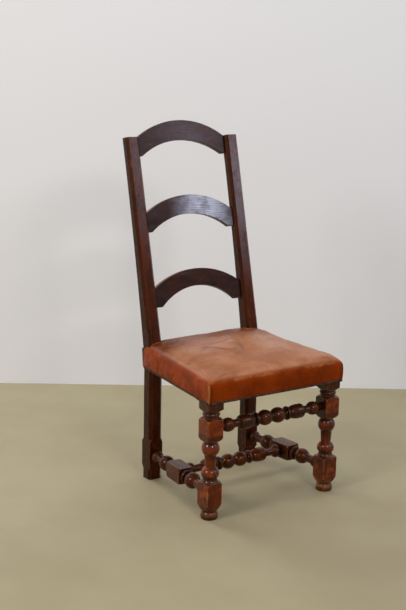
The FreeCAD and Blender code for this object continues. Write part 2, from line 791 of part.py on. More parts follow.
def make_side_rails():
    """Side rails in their places, and the tools for their mortises."""
    across = ("post_width / 2 - rail_inset - rail_thickness", "post_width / 2 - rail_inset")
    tenon = ("post_width / 2 - rail_inset - rail_thickness / 2 - rail_tenon_thickness / 2",
             "post_width / 2 - rail_inset - rail_thickness / 2 + rail_tenon_thickness / 2")
    along = ("-" + SIDE_REACH, SIDE_REACH)
    up = (SIDE_RAIL_BOTTOM, "leg_height")
    tenon_up = (SIDE_RAIL_BOTTOM + " + rail_tenon_margin", "leg_height - rail_tenon_margin")
    rails, tools = {}, {}
    for side_name, side in SIDES:
        name = "seat_rail_" + side_name
        bar = side_block(name + "_bar", side, across, along, up)
        clear = between(name + "_clear", bar, LEG_BACK_Y, POST_FRONT_Y)
        tongue = side_block(name + "_tongue", side, tenon, along, tenon_up)
        tongue = between(name + "_tenons", tongue, LEG_BACK_Y + " - rail_tenon_length",
                         POST_FRONT_Y + " + rail_tenon_length")
        rails[side_name] = fuse(name + "_whole", [clear, tongue])
        hole = side_block(
            name + "_hole", side,
            (tenon[0] + " - joint_clearance", tenon[1] + " + joint_clearance"), along,
            (tenon_up[0] + " - joint_clearance", tenon_up[1] + " + joint_clearance"))
        tools[side_name] = between(
            name + "_mortises", hole, LEG_BACK_Y + " - rail_tenon_length - joint_clearance",
            POST_FRONT_Y + " + rail_tenon_length + joint_clearance")
    return rails, tools


def make_cross_rail(name, half, face, bottom):
    """The front or back rail, and the tool for its mortises."""
    low = ["-" + half, face, bottom]
    size = ["2 * " + half, "rail_thickness", "leg_height - " + bottom]
    bar = block(name + "_bar", low, size)
    middle = "%s + rail_thickness / 2 - rail_tenon_thickness / 2" % face
    made = []
    for part, clearance in (("tenons", "0"), ("mortises", "joint_clearance")):
        reach = "(%s + rail_tenon_length + %s)" % (half, clearance)
        made.append(block(
            name + "_" + part,
            ("-" + reach, "%s - %s" % (middle, clearance),
             "%s + rail_tenon_margin - %s" % (bottom, clearance)),
            ("2 * " + reach, "rail_tenon_thickness + 2 * %s" % clearance,
             "leg_height - %s - 2 * rail_tenon_margin + 2 * %s" % (bottom, clearance))))
    return fuse(name + "_whole", [bar, made[0]]), made[1]


def peg_rods(name, places, axis, angle):
    """Rods at a list of start points, all turned the same way."""
    return [rod("%s_%d" % (name, number), "peg_radius", "peg_depth", start, axis, angle)
            for number, start in enumerate(places)]


def make_straps(name, along):
    """One layer of webbing straps over the rails."""
    straps = []
    for index in range(STRAPS):
        step = "(%d / %d)" % (2 * index + 1 - STRAPS, 2 * STRAPS)
        strap_name = "%s_%d" % (name, index + 1)
        if along:
            middle = "%s * 2 * %s" % (step, POST_GAP_HALF)
            front = "%s - leg_bar / 2 + rail_inset + webbing_inset" % FRONT_Y
            back = "%s - back_rail_inset - webbing_inset" % POST_BACK_Y
            low = (middle + " - webbing_width / 2", front, "leg_height")
            size = ("webbing_width", "(%s) - (%s)" % (back, front), "webbing_thickness")
        else:
            middle = "(%s + %s) / 2 + %s * (%s - %s)" % (
                LEG_BACK_Y, POST_FRONT_Y, step, POST_FRONT_Y, LEG_BACK_Y)
            half = side_line("post_width / 2 - rail_inset - webbing_inset",
                             "(%s + webbing_width / 2)" % middle)
            low = ("-" + half, middle + " - webbing_width / 2", "leg_height + webbing_thickness")
            size = ("2 * " + half, "webbing_width", "webbing_thickness")
        straps.append(block(strap_name, low, size))
    return group(name + "_straps", straps)


def build():
    """Build every sub-part of the chair."""
    posts = {name: post_blank("rear_post_" + name, side) for name, side in SIDES}
    legs = {name: front_leg_blank("front_leg_" + name, side) for name, side in SIDES}
    post_tools = []
    leg_tools = []

    slat_wholes = {}
    for name, foot, foot_length, rise in SLATS:
        board = slat_board(name, foot, foot_length, rise)
        bar = slat_tenons(name + "_tenon_bar", foot, "0")
        tenons = ends_of(name + "_tenons", bar, "(%s - slat_tenon_margin)" % POST_GAP_HALF)
        slat_wholes[name] = fuse(name + "_whole", [board, tenons])
        post_tools.append(slat_tenons(name + "_mortises", foot, "joint_clearance"))

    side_rails, side_mortises = make_side_rails()
    front_rail, front_mortises = make_cross_rail(
        "seat_rail_front", LEG_GAP_HALF, "(%s - leg_bar / 2 + rail_inset)" % FRONT_Y,
        FRONT_RAIL_BOTTOM)
    back_rail, back_mortises = make_cross_rail(
        "seat_rail_back", POST_GAP_HALF, "(%s - back_rail_inset - rail_thickness)" % POST_BACK_Y,
        SIDE_RAIL_BOTTOM)
    post_tools += [back_mortises] + list(side_mortises.values())
    leg_tools += [front_mortises] + list(side_mortises.values())

    slat_pegs = make_slat_pegs()
    front_pegs, back_pegs, side_pegs = make_rail_pegs()
    post_tools += slat_pegs + back_pegs + side_pegs["rear"]
    leg_tools += front_pegs + side_pegs["front"]

    front_turning = turned_stretcher(
        "front_stretcher", turned_half("front_bead_start", "front_bead_end", LEG_GAP_HALF))
    bind(front_turning, Base_y=FRONT_Y, Base_z=LEVELS["front_stretcher"])
    tenon_length = "2 * (%s + round_tenon_length)" % LEG_GAP_HALF
    front_tenon = round_bar("front_stretcher_tenon", "round_tenon_radius", tenon_length)
    front_socket = round_bar("front_stretcher_socket", "round_tenon_radius + joint_clearance",
                             tenon_length + " + 2 * joint_clearance")
    for bar in (front_tenon, front_socket):
        bind(bar, Base_y=FRONT_Y, Base_z=LEVELS["front_stretcher"])
    finish(fuse("front_stretcher", [front_turning, front_tenon]), "front_stretcher")
    leg_tools.append(front_socket)

    cross_turning = turned_stretcher(
        "cross_stretcher", turned_half("cross_bead_start", "cross_bead_end", MIDDLE_X))
    cross_length = "2 * (%s + round_tenon_length)" % BLOCK_FACE_X
    cross_tenon = round_bar("cross_stretcher_tenon", "round_tenon_radius", cross_length)
    cross_socket = round_bar("cross_stretcher_socket", "round_tenon_radius + joint_clearance",
                             cross_length + " + 2 * joint_clearance")
    for bar in (cross_turning, cross_tenon, cross_socket):
        bind(bar, Base_y=MIDDLE_Y, Base_z=LEVELS["low_stretcher"])
    copes = [side_block("cross_cope_" + name, side,
                        ("-stretcher_bar / 2", "stretcher_bar / 2"),
                        ("-stretcher_block / 2", "stretcher_block / 2"),
                        (LEVELS["low_stretcher"] + " - stretcher_bar / 2",
                         LEVELS["low_stretcher"] + " + stretcher_bar / 2")) for name, side in SIDES]
    coped = cut("cross_stretcher_coped", cross_turning, copes)
    finish(fuse("cross_stretcher", [coped, cross_tenon]), "cross_stretcher")

    for side_name, side in SIDES:
        name = "side_stretcher_" + side_name
        turning = between(name + "_clear", side_turning(name, side), LEG_BACK_Y, POST_FRONT_Y)
        length = "2 * (%s - leg_bar / 2 + round_tenon_length)" % SIDE_REACH
        tenon = beside(round_bar(name + "_tenon", "round_tenon_radius", length), side)
        socket = beside(round_bar(name + "_socket", "round_tenon_radius + joint_clearance",
                                  length + " + 2 * joint_clearance"), side)
        whole = fuse(name + "_whole", [turning, tenon])
        finish(cut(name, whole, [cross_socket]), name)
        leg_tools.append(socket)
        post_tools.append(socket)

    for name, whole in slat_wholes.items():
        finish(cut(name, whole, slat_pegs), name)
    finish(cut("seat_rail_front", front_rail, front_pegs), "seat_rail_front")
    finish(cut("seat_rail_back", back_rail, back_pegs), "seat_rail_back")
    for side_name, _ in SIDES:
        name = "seat_rail_" + side_name
        finish(cut(name, side_rails[side_name], side_pegs["front"] + side_pegs["rear"]), name)
    post_tool = fuse("post_tools", post_tools)
    leg_tool = fuse("leg_tools", leg_tools)
    for side_name, _ in SIDES:
        finish(cut("rear_post_" + side_name, posts[side_name], [post_tool]),
               "rear_post_" + side_name)
        finish(cut("front_leg_" + side_name, legs[side_name], [leg_tool]),
               "front_leg_" + side_name)

    both_posts = fuse("post_blanks", list(posts.values()))
    both_legs = fuse("leg_blanks", list(legs.values()))
    flush_slat_pegs = common("slat_pegs", group("slat_peg_rods", slat_pegs), both_posts)
    finish(flush_slat_pegs, "slat_pegs")
    leg_pegs = common("leg_pegs", group("leg_peg_rods", front_pegs + side_pegs["front"]), both_legs)
    post_pegs = common("post_pegs", group("post_peg_rods", back_pegs + side_pegs["rear"]),
                       both_posts)
    finish(group("rail_pegs", [leg_pegs, post_pegs]), "rail_pegs")
    make_seat(both_posts, both_legs)


def make_slat_pegs():
    """Peg rods through the backs of the posts into the slats' tenons."""
    places = []
    for _, foot, _, _ in SLATS:
        middle = "(%s + slat_end_height / 2)" % foot
        depth = "slat_setback - peg_radius"
        for _, side in SIDES:
            places.append((
                "%d * (%s + peg_edge)" % (side, POST_GAP_HALF),
                "%s + %s * sin(%s) + (%s) * cos(%s)" % (POST_FRONT_Y, middle, RAKE, depth, RAKE),
                "%s + %s * cos(%s) - (%s) * sin(%s)" % (POST_KINK, middle, RAKE, depth, RAKE)))
    rods = []
    for number, start in enumerate(places):
        peg = document.addObject("Part::Cylinder", "slat_peg_%d" % number)
        turn(peg, Vector(-1, 0, 0), "90 deg + %s" % RAKE)
        bind(peg, Radius="peg_radius", Height="peg_depth + post_chamfer")
        rods.append(bind(peg, Base_x=start[0], Base_y=start[1], Base_z=start[2]))
    return rods


def make_rail_pegs():
    """Peg rods through the legs and posts into the rails' tenons."""
    front_level = "(%s + leg_height) / 2" % FRONT_RAIL_BOTTOM
    side_level = "(%s + leg_height) / 2" % SIDE_RAIL_BOTTOM
    back_start = "%s - peg_depth + post_chamfer" % POST_BACK_Y
    front, back, side_front, side_rear = [], [], [], []
    for _, side in SIDES:
        front.append(("%d * (%s + peg_edge)" % (side, LEG_GAP_HALF),
                      "%s - leg_bar / 2" % FRONT_Y, front_level))
        back.append(("%d * (%s + peg_edge)" % (side, POST_GAP_HALF), back_start, side_level))
        side_front.append((side, "front_spacing / 2 + leg_bar / 2",
                           LEG_BACK_Y + " - peg_edge"))
        side_rear.append((side, "rear_spacing / 2 + post_width / 2",
                          POST_FRONT_Y + " + peg_edge"))
    sides = {}
    for end, places in (("front", side_front), ("rear", side_rear)):
        sides[end] = [rod("side_%s_peg_%d" % (end, number), "peg_radius", "peg_depth",
                          ("%d * (%s)" % (side, face), depth, side_level),
                          Vector(0, -side, 0), 90)
                      for number, (side, face, depth) in enumerate(places)]
    inward = Vector(-1, 0, 0)
    return (peg_rods("front_rail_peg", front, inward, 90),
            peg_rods("back_rail_peg", back, inward, 90), sides)


def make_seat(posts, legs):
    """The webbing, hessian, stuffing, wadding, leather and its lower band."""
    finish(make_straps("webbing_lengthwise", True), "webbing_lengthwise")
    finish(make_straps("webbing_crosswise", False), "webbing_crosswise")
    web_top = "(leg_height + 2 * webbing_thickness)"
    cloth = frame_plate("hessian_plate", "hessian_inset", web_top, "hessian_thickness")
    finish(cut("hessian", cloth, [posts]), "hessian")
    document.recompute()

    outside = cushion("leather_outside", "0")
    inside = cushion("leather_inside", "leather_thickness")
    filling = cushion("filling", "leather_thickness + soft_clearance")
    around = cushion("band_outside", "-band_thickness")
    filling_level = "(%s + hessian_thickness)" % web_top
    wide = ("-front_spacing", FRONT_Y + " - leg_bar")
    spread = ("2 * front_spacing", "2 * seat_depth")
    above = block("above_hessian", wide + (filling_level,), spread + ("leather_height",))
    below = block("below_hessian", wide + (0,), spread + (filling_level,))
    pad_blank = common("stuffing_blank", filling, above)
    finish(cut("seat_stuffing", pad_blank, [posts]), "seat_stuffing")
    frame = frame_plate("frame_plate", "0", 0, "post_height")
    wadding = common("wadding_blank", filling, below)
    clear_of_rails = cut("wadding_clear_of_rails", wadding, [frame])
    clear_of_legs = cut("wadding_clear_of_legs", clear_of_rails, [legs])
    finish(cut("side_wadding", clear_of_legs, [posts]), "side_wadding")
    shell = cut("leather_shell", outside, [inside])
    finish(cut("seat_leather", shell, [posts]), "seat_leather")

    slope = "atan(leather_slope / (seat_depth + post_depth / 2 - leather_rear_inset + %s))" % FRONT_REACH
    strip = document.addObject("Part::Box", "band_slab")
    turn(strip, Vector(1, 0, 0), slope)
    bind(strip, Length="2 * front_spacing", Width="2 * seat_depth", Height="band_height",
         Base_x="-front_spacing", Base_y="%s - %s" % (FRONT_Y, FRONT_REACH),
         Base_z=LEATHER_BOTTOM)
    ring = common("band_ring", around, strip)
    strip_ring = cut("band_strip", ring, [outside])
    corners = []
    for side_name, side in SIDES:
        low = POST_GAP_HALF if side > 0 else "-(%s + 2 * post_width)" % POST_GAP_HALF
        corners.append(block("band_corner_" + side_name,
                             (low, POST_BACK_Y + " - band_end_inset", LEATHER_BOTTOM),
                             ("2 * post_width", "post_depth", "leather_height")))
    ends = cut("band_ends", strip_ring, corners)
    finish(cut("trim_band", ends, [posts]), "trim_band")


build()
document.recompute()

faults = []
for thing in document.Objects:
    if "Invalid" in thing.State or "Error" in thing.State:
        faults.append("%s: %s" % (thing.Name, ", ".join(thing.State)))
for thing in nodes:
    if thing.Shape.isNull() or not thing.Shape.isValid():
        faults.append("%s: no valid shape" % thing.Label)
if faults:
    raise RuntimeError("not built: " + "; ".join(faults))

os.makedirs("parts", exist_ok=True)
for thing in nodes:
    thing.Shape.exportStep("parts/%s.step" % thing.Label)
    box = thing.Shape.BoundBox
    print("%-22s solids %2d  volume %9.0f  x %7.1f %7.1f  y %7.1f %7.1f  z %7.1f %7.1f" % (
        thing.Label, len(thing.Shape.Solids), thing.Shape.Volume,
        box.XMin, box.XMax, box.YMin, box.YMax, box.ZMin, box.ZMax))
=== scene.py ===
"""Dresses the joined high-back chair: its polished wood, leather seat, nails and webbing.

Everything is in metres in the chair's own frame: X runs across it with the
sitter's left at +X, the chair faces -Y, and Z is up from the floor.
"""

from __future__ import annotations

import json
import logging
import math
from dataclasses import dataclass, field, replace
from enum import Enum
from typing import Iterable, Sequence, Union

import bmesh
import bpy
import numpy as np
from mathutils import Matrix, Vector, noise
from mathutils.bvhtree import BVHTree

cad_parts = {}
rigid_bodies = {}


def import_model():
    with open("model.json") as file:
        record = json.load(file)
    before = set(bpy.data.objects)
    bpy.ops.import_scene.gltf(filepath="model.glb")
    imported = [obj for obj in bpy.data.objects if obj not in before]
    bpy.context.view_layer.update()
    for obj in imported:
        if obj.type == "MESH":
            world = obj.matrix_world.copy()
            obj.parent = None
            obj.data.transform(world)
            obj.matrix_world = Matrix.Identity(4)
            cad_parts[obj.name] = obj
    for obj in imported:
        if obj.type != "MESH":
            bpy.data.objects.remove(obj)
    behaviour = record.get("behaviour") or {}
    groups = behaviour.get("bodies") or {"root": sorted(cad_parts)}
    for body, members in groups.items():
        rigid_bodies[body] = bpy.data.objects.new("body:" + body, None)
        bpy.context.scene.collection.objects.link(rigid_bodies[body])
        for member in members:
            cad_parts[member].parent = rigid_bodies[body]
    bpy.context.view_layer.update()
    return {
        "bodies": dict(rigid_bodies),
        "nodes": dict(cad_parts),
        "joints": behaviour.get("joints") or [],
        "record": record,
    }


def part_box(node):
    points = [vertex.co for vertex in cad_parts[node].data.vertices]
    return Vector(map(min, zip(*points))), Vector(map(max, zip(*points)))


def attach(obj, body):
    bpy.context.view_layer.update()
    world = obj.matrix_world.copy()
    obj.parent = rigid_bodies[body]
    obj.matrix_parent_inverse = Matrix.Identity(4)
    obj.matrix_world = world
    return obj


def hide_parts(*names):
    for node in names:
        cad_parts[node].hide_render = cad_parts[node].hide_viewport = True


log = logging.getLogger("chair")

BODY = "root"
# How high the rear posts start to lean back, in metres, as they are sawn
POST_KINK = 0.4467
# What the leather's mesh carries for its finish, painted sheen, highlight and shade among it
LEATHER_MARKS = ("top", "rich", "pale", "scuff", "crease", "soil")

Socket = bpy.types.NodeSocket
Value = Union[Socket, float, int, Sequence[float]]
Color = tuple[float, float, float, float]


def srgb(code: str) -> Color:
    """Turn a hex colour as seen on a screen into linear light.

    Args:
        code: six hex digits.

    Returns:
        The red, green, blue and alpha values.
    """
    parts = [int(code[at:at + 2], 16) / 255 for at in (0, 2, 4)]
    linear = [part / 12.92 if part <= 0.04045 else ((part + 0.055) / 1.055) ** 2.4
              for part in parts]
    return (linear[0], linear[1], linear[2], 1.0)


class Side(Enum):
    """A side of the chair, as the sitter names it."""

    LEFT = 1
    RIGHT = -1

    @property
    def word(self) -> str:
        """The side's name as the nodes spell it."""
        return self.name.lower()


class Grain(Enum):
    """The way that a board's grain runs."""

    UPRIGHT = (0.0, 0.0, 1.0)
    RAKED = (0.0, 0.16, 1.0)
    ACROSS = (1.0, 0.0, 0.0)
    SIDE_LEFT = (-0.081, 1.0, 0.0)
    SIDE_RIGHT = (0.081, 1.0, 0.0)
    DEEP = (0.0, 1.0, 0.0)


class Weave:
    """Adds shader nodes to one tree and links them."""

    def __init__(self, tree: bpy.types.NodeTree) -> None:
        """Start on an empty tree."""
        self.tree = tree

    def feed(self, node: bpy.types.Node, values: dict[Union[str, int], Value]) -> None:
        """Link sockets to a node's inputs, and set plain values on them.

        Args:
            node: the node.
            values: a socket or a plain value for each input, by name or number.
        """
        for name, value in values.items():
            if isinstance(value, bpy.types.NodeSocket):
                self.tree.links.new(value, node.inputs[name])
            else:
                node.inputs[name].default_value = value

    def add(self, kind: str, values: dict[Union[str, int], Value] | None = None,
            **settings: object) -> bpy.types.Node:
        """Add a node, set its properties and feed its inputs.

        Args:
            kind: the node's type name without its first word.
            values: a socket or a plain value for each input, by name or number.
            settings: the node's own properties.

        Returns:
            The node.
        """
        node = self.tree.nodes.new(kind if kind.startswith("Node") else "ShaderNode" + kind)
        for name, setting in settings.items():
            setattr(node, name, setting)
        self.feed(node, values or {})
        return node

    def maths(self, operation: str, first: Value, second: Value = 0.0,
              clamp: bool = False) -> Socket:
        """Add a Math node and return its result."""
        node = self.add("Math", {0: first, 1: second}, operation=operation, use_clamp=clamp)
        return node.outputs[0]

    def times(self, first: Value, second: Value) -> Socket:
        """Multiply two values."""
        return self.maths("MULTIPLY", first, second)

    def plus(self, first: Value, second: Value) -> Socket:
        """Add two values."""
        return self.maths("ADD", first, second)

    def minus(self, first: Value, second: Value) -> Socket:
        """Take the second value from the first."""
        return self.maths("SUBTRACT", first, second)

    def more(self, first: Value, second: Value) -> Socket:
        """Keep the larger of two values."""
        return self.maths("MAXIMUM", first, second)

    def size(self, value: Value) -> Socket:
        """Drop a value's sign."""
        return self.maths("ABSOLUTE", value)

    def span(self, value: Value, low: float, high: float, to_low: float = 0.0,
             to_high: float = 1.0) -> Socket:
        """Stretch a range of a value smoothly to another range.

        Args:
            value: what to stretch.
            low: where the range starts.
            high: where it ends.
            to_low: what its start becomes.
            to_high: what its end becomes.

        Returns:
            The stretched value.
        """
        limits = {"From Min": low, "From Max": high, "To Min": to_low, "To Max": to_high}
        return self.add("MapRange", {"Value": value, **limits},
                        interpolation_type="SMOOTHSTEP").outputs[0]

    def mix(self, share: Value, first: Value, second: Value) -> Socket:
        """Mix two colours."""
        return self.add("Mix", {0: share, 6: first, 7: second}, data_type="RGBA").outputs[2]

    def vectors(self, operation: str, first: Value, second: Value) -> bpy.types.Node:
        """Add a Vector Math node."""
        return self.add("VectorMath", {0: first, 1: second}, operation=operation)

    def speckle(self, vector: Value, scale: Value, detail: float = 2.0,
                roughness: float = 0.5) -> Socket:
        """Add a noise texture and return its value."""
        return self.add("TexNoise", {"Vector": vector, "Scale": scale, "Detail": detail,
                                     "Roughness": roughness}).outputs[0]

    def stretched(self, vector: Value, scale: Sequence[float],
                  turn: Sequence[float] = (0.0, 0.0, 0.0)) -> Socket:
        """Scale and turn texture coordinates."""
        node = self.add("Mapping", {"Vector": vector, "Scale": scale, "Rotation": turn})
        return node.outputs[0]

    def part(self, vector: Value, axis: int) -> Socket:
        """Take X, Y or Z, as 0, 1 or 2, out of a vector."""
        return self.add("SeparateXYZ", {0: vector}).outputs[axis]

    def place(self) -> Socket:
        """Where a point lies in the chair's frame."""
        return self.add("TexCoord").outputs["Object"]

    def raised(self, height: Value, depth: float, strength: float = 1.0,
               **under: Socket) -> Socket:
        """Turn heights into a bumped normal, over another normal if one is given."""
        return self.add("Bump", {"Height": height, "Distance": depth, "Strength": strength,
                                 **under}).outputs[0]


class EffectGroup:
    """A shader node group that several finishes use, built once."""

    title = "effect"
    takes: Sequence[tuple[str, float]] = ()
    gives: Sequence[str] = ()
    _trees: dict[str, bpy.types.NodeTree] = {}

    def wire(self, weave: Weave, source: dict[str, Socket]) -> dict[str, Socket]:
        """Build the group's inside.

        Args:
            weave: the tree to build in.
            source: the group's inputs.

        Returns:
            A socket for each of the group's outputs, by name.
        """
        raise NotImplementedError

    def tree(self) -> bpy.types.NodeTree:
        """The group's tree, built at its first use.

        Returns:
            A tree that takes a vector and numbers, and gives masks or a normal.
        """
        if self.title in self._trees:
            return self._trees[self.title]
        tree = bpy.data.node_groups.new(self.title, "ShaderNodeTree")
        tree.interface.new_socket("Vector", in_out="INPUT", socket_type="NodeSocketVector")
        for name, start in self.takes:
            socket = tree.interface.new_socket(name, in_out="INPUT", socket_type="NodeSocketFloat")
            socket.default_value = start
        for name in self.gives:
            kind = "NodeSocketVector" if name.endswith("Normal") else "NodeSocketFloat"
            tree.interface.new_socket(name, in_out="OUTPUT", socket_type=kind)
        weave = Weave(tree)
        source = weave.add("NodeGroupInput").outputs
        weave.add("NodeGroupOutput", self.wire(weave, source))
        self._trees[self.title] = tree
        return tree

    def place(self, weave: Weave, **values: Value) -> bpy.types.Node:
        """Place the group in a material.

        Args:
            weave: the material's tree.
            values: its inputs, spelled with underscores for spaces.

        Returns:
            The group node.
        """
        node = weave.add("Group", node_tree=self.tree())
        weave.feed(node, {name.replace("_", " "): value for name, value in values.items()})
        return node


class WoodFigure(EffectGroup):
    """Streaks, fibres and open pores along local Z."""

    title = "wood figure"
    takes = (("Streak Scale", 70.0),)
    gives = ("Streak", "Fibre", "Pores", "Cloud", "Patches", "Ripple")

    def wire(self, weave: Weave, source: dict[str, Socket]) -> dict[str, Socket]:
        """Warp the coordinates a little, then draw each layer stretched along Z.

        Args:
            weave: the tree to build in.
            source: the coordinates and the streaks' scale.

        Returns:
            A mask for each layer.
        """
        vector = source["Vector"]
        sway = weave.add("TexNoise", {"Vector": vector, "Scale": 5.0, "Detail": 1.0}).outputs[1]
        swing = weave.vectors("MULTIPLY", sway, (0.012, 0.012, 0.0)).outputs[0]
        warped = weave.vectors("ADD", vector, swing).outputs[0]
        streak = weave.add("TexNoise", {"Vector": weave.stretched(warped, (1.0, 1.0, 0.045)),
                                        "Scale": source["Streak Scale"], "Detail": 5.0,
                                        "Roughness": 0.62, "Distortion": 0.35})
        fibre = weave.speckle(weave.stretched(warped, (1.0, 1.0, 0.02)), 620.0, 3.0, 0.6)
        pore = weave.speckle(weave.stretched(warped, (1.0, 1.0, 0.055)), 820.0, 1.0)
        return {
            "Streak": weave.span(streak.outputs[0], 0.32, 0.68),
            "Fibre": weave.span(fibre, 0.3, 0.7),
            "Pores": weave.span(pore, 0.6, 0.7),
            "Cloud": weave.span(weave.speckle(vector, 7.0, 3.0), 0.3, 0.7),
            "Patches": weave.span(weave.speckle(vector, 34.0, 3.0, 0.6), 0.46, 0.72),
            "Ripple": weave.speckle(weave.stretched(vector, (1.0, 1.0, 0.4)), 24.0, 1.0),
        }


class EdgeWear(EffectGroup):
    """Where hands and feet rub a piece: its raised edges, broken up by noise."""

    title = "edge wear"
    takes = (("Reach", 0.002), ("Patchiness", 38.0))
    gives = ("Worn", "Rounded Normal")

    def wire(self, weave: Weave, source: dict[str, Socket]) -> dict[str, Socket]:
        """Compare the rounded normal with the plain one.

        Args:
            weave: the tree to build in.
            source: the coordinates, the reach of the wear and its noise's scale.

        Returns:
            How worn each place is, and the rounded normal.
        """
        rounded = weave.add("Bevel", {"Radius": source["Reach"]}, samples=6).outputs[0]
        plain = weave.add("NewGeometry").outputs["Normal"]
        same = weave.vectors("DOT_PRODUCT", rounded, plain).outputs["Value"]
        patches = weave.speckle(source["Vector"], source["Patchiness"], 4.0, 0.65)
        worn = weave.times(weave.span(same, 0.995, 0.86), weave.span(patches, 0.36, 0.6))
        return {"Worn": worn, "Rounded Normal": rounded}


class HollowGrimeAndShade(EffectGroup):
    """Old wax and dirt in the hollows and grooves, with painted shade there."""

    title = "hollow grime"
    takes = (("Depth", 0.012), ("Onset", 0.86), ("Reluctance", 0.46))
    gives = ("Grime",)

    def wire(self, weave: Weave, source: dict[str, Socket]) -> dict[str, Socket]:
        """Darken, unevenly, where little light reaches: grime, and painted shade.

        Args:
            weave: the tree to build in.
            source: the coordinates, the depth of a hollow, and how open and how
            slowly closing a place has to be for grime and painted shade to show.

        Returns:
            How much grime and painted shade each place has.
        """
        open_air = weave.add("AmbientOcclusion", {"Distance": source["Depth"]},
                             samples=6).outputs["AO"]
        closed = weave.minus(source["Onset"], open_air)
        hollow = weave.span(weave.maths("DIVIDE", closed, source["Reluctance"]), 0.0, 1.0)
        patches = weave.speckle(source["Vector"], 55.0, 3.0)
        return {"Grime": weave.times(hollow, weave.span(patches, 0.15, 0.6, 0.55, 1.0))}


class Knocks(EffectGroup):
    """Fine scratches, small dents and a dull haze of handling."""

    title = "knocks"
    gives = ("Scratches", "Dents", "Haze")

    def wire(self, weave: Weave, source: dict[str, Socket]) -> dict[str, Socket]:
        """Lay two slanting sets of hairlines over sparse round dents.

        Args:
            weave: the tree to build in.
            source: the coordinates.

        Returns:
            A mask for each kind of mark.
        """
        vector = source["Vector"]
        hairs = []
        for slant, scale in ((0.5, 260.0), (-0.85, 340.0)):
            across = weave.stretched(vector, (1.0, 1.0, 0.05), (slant, slant * 0.6, 0.0))
            hairs.append(weave.span(weave.speckle(across, scale, 1.0), 0.70, 0.74))
        sparse = weave.span(weave.speckle(vector, 26.0), 0.48, 0.66)
        cell = weave.add("TexVoronoi", {"Vector": vector, "Scale": 85.0}).outputs["Distance"]
        return {"Scratches": weave.times(weave.more(*hairs), sparse),
                "Dents": weave.times(weave.span(cell, 0.22, 0.05), sparse),
                "Haze": weave.span(weave.speckle(vector, 16.0, 5.0, 0.65), 0.32, 0.68)}


class HideGrain(EffectGroup):
    """The pebbled surface of hide, its pores and its mottled dye."""

    title = "hide grain"
    gives = ("Pebble", "Mottle", "Crackle", "Scrapes")

    def wire(self, weave: Weave, source: dict[str, Socket]) -> dict[str, Socket]:
        """Draw small rounded cells, broad mottling and a fine network of cracks.

        Args:
            weave: the tree to build in.
            source: the coordinates.

        Returns:
            A mask for each layer.
        """
        vector = source["Vector"]
        small = weave.add("TexVoronoi", {"Vector": vector, "Scale": 620.0},
                          feature="SMOOTH_F1").outputs["Distance"]
        sway = weave.add("TexNoise", {"Vector": vector, "Scale": 60.0}).outputs[1]
        swayed = weave.vectors("ADD", vector, sway).outputs[0]
        crack = weave.add("TexVoronoi", {"Vector": swayed, "Scale": 95.0},
                          feature="DISTANCE_TO_EDGE").outputs[0]
        return {"Pebble": weave.span(small, 0.05, 0.75),
                "Mottle": weave.span(weave.speckle(vector, 11.0, 6.0, 0.6), 0.36, 0.62),
                "Crackle": weave.span(crack, 0.05, 0.0),
                "Scrapes": weave.speckle(weave.stretched(vector, (1.0, 1.0, 9.0)), 24.0, 5.0, 0.7)}


class PlainWeave(EffectGroup):
    """Threads that pass over and under each other in a plane."""

    title = "plain weave"
    takes = (("Pitch", 0.0016),)
    gives = ("Height", "Thread")

    def wire(self, weave: Weave, source: dict[str, Socket]) -> dict[str, Socket]:
        """Let a sine along each thread lift it over its neighbours.

        Args:
            weave: the tree to build in.
            source: the coordinates and the threads' pitch.

        Returns:
            How high each place is, and which thread is on top.
        """
        waves = []
        for axis in (0, 1):
            turns = weave.maths("DIVIDE", weave.part(source["Vector"], axis), source["Pitch"])
            waves.append(weave.maths("SINE", weave.times(turns, math.tau / 2)))
        thread = weave.size(weave.minus(*waves))
        return {"Height": weave.span(weave.times(*waves), -1.0, 1.0),
                "Thread": weave.span(thread, 0.0, 1.4)}


FIGURE = WoodFigure()
WEAR = EdgeWear()
GRIME_AND_SHADE = HollowGrimeAndShade()
KNOCKS = Knocks()
HIDE = HideGrain()
CLOTH = PlainWeave()


class DirtAndShade(Enum):
    """What gathers on old wood, leather and cloth, and painted shade, by its tone."""

    PORE = "120603"
    # Painted shade on side faces, on the legs' necks under the seat and at the slats' ends
    FLANK = "0e0705"
    NECK = "1a0a04"
    SLAT_END_SHADE = "120704"
    # Old wax in the hollows, with painted shade there
    OLD_WAX_AND_SHADE = "120907"
    HAND_SOIL = "2a0f06"
    # Dirt and painted shade where the nails meet the leather
    NAIL_DIRT_AND_SHADE = "120c08"
    DUST = "4a3a26"

    @property
    def tone(self) -> Color:
        """Its colour in linear light."""
        return srgb(self.value)


def new_material(title: str) -> tuple[bpy.types.Material, Weave, bpy.types.Node]:
    """Start a material with one Principled shader.

    Args:
        title: the material's name.

    Returns:
        The material, its tree's weaver and the shader node.
    """
    material = bpy.data.materials.new(title)
    material.use_nodes = True
    material.node_tree.nodes.clear()
    weave = Weave(material.node_tree)
    shader = weave.add("BsdfPrincipled")
    weave.add("OutputMaterial", {"Surface": shader.outputs[0]})
    return material, weave, shader


@dataclass(frozen=True)
class PaintedSheen:
    """Painted sheen on the front of a piece: a pale reflection painted into its colour, between
    two places on one axis.
    """

    axis: int
    start: float
    end: float
    share: float
    tone: str = "8e92a4"

    def wire(self, weave: Weave, masks: dict[str, Socket]) -> Socket:
        """Draw how strong the painted sheen is.

        Args:
            weave: the material's weaver.
            masks: what the finish has drawn so far.

        Returns:
            The share of the bloom's tone.
        """
        cloud = weave.times(weave.plus(masks["Haze"], masks["Fibre"]), 0.5)
        along = weave.part(masks["Object"], self.axis)
        front = weave.span(weave.part(masks["Normal"], 1), -0.75, -0.95)
        middle = (self.start + self.end) / 2
        near = weave.times(weave.span(along, self.start, middle),
                           weave.span(along, self.end, middle))
        broken = weave.times(near, weave.span(cloud, 0.1, 0.75, 0.25, 1.0))
        return weave.times(weave.times(broken, front), self.share)


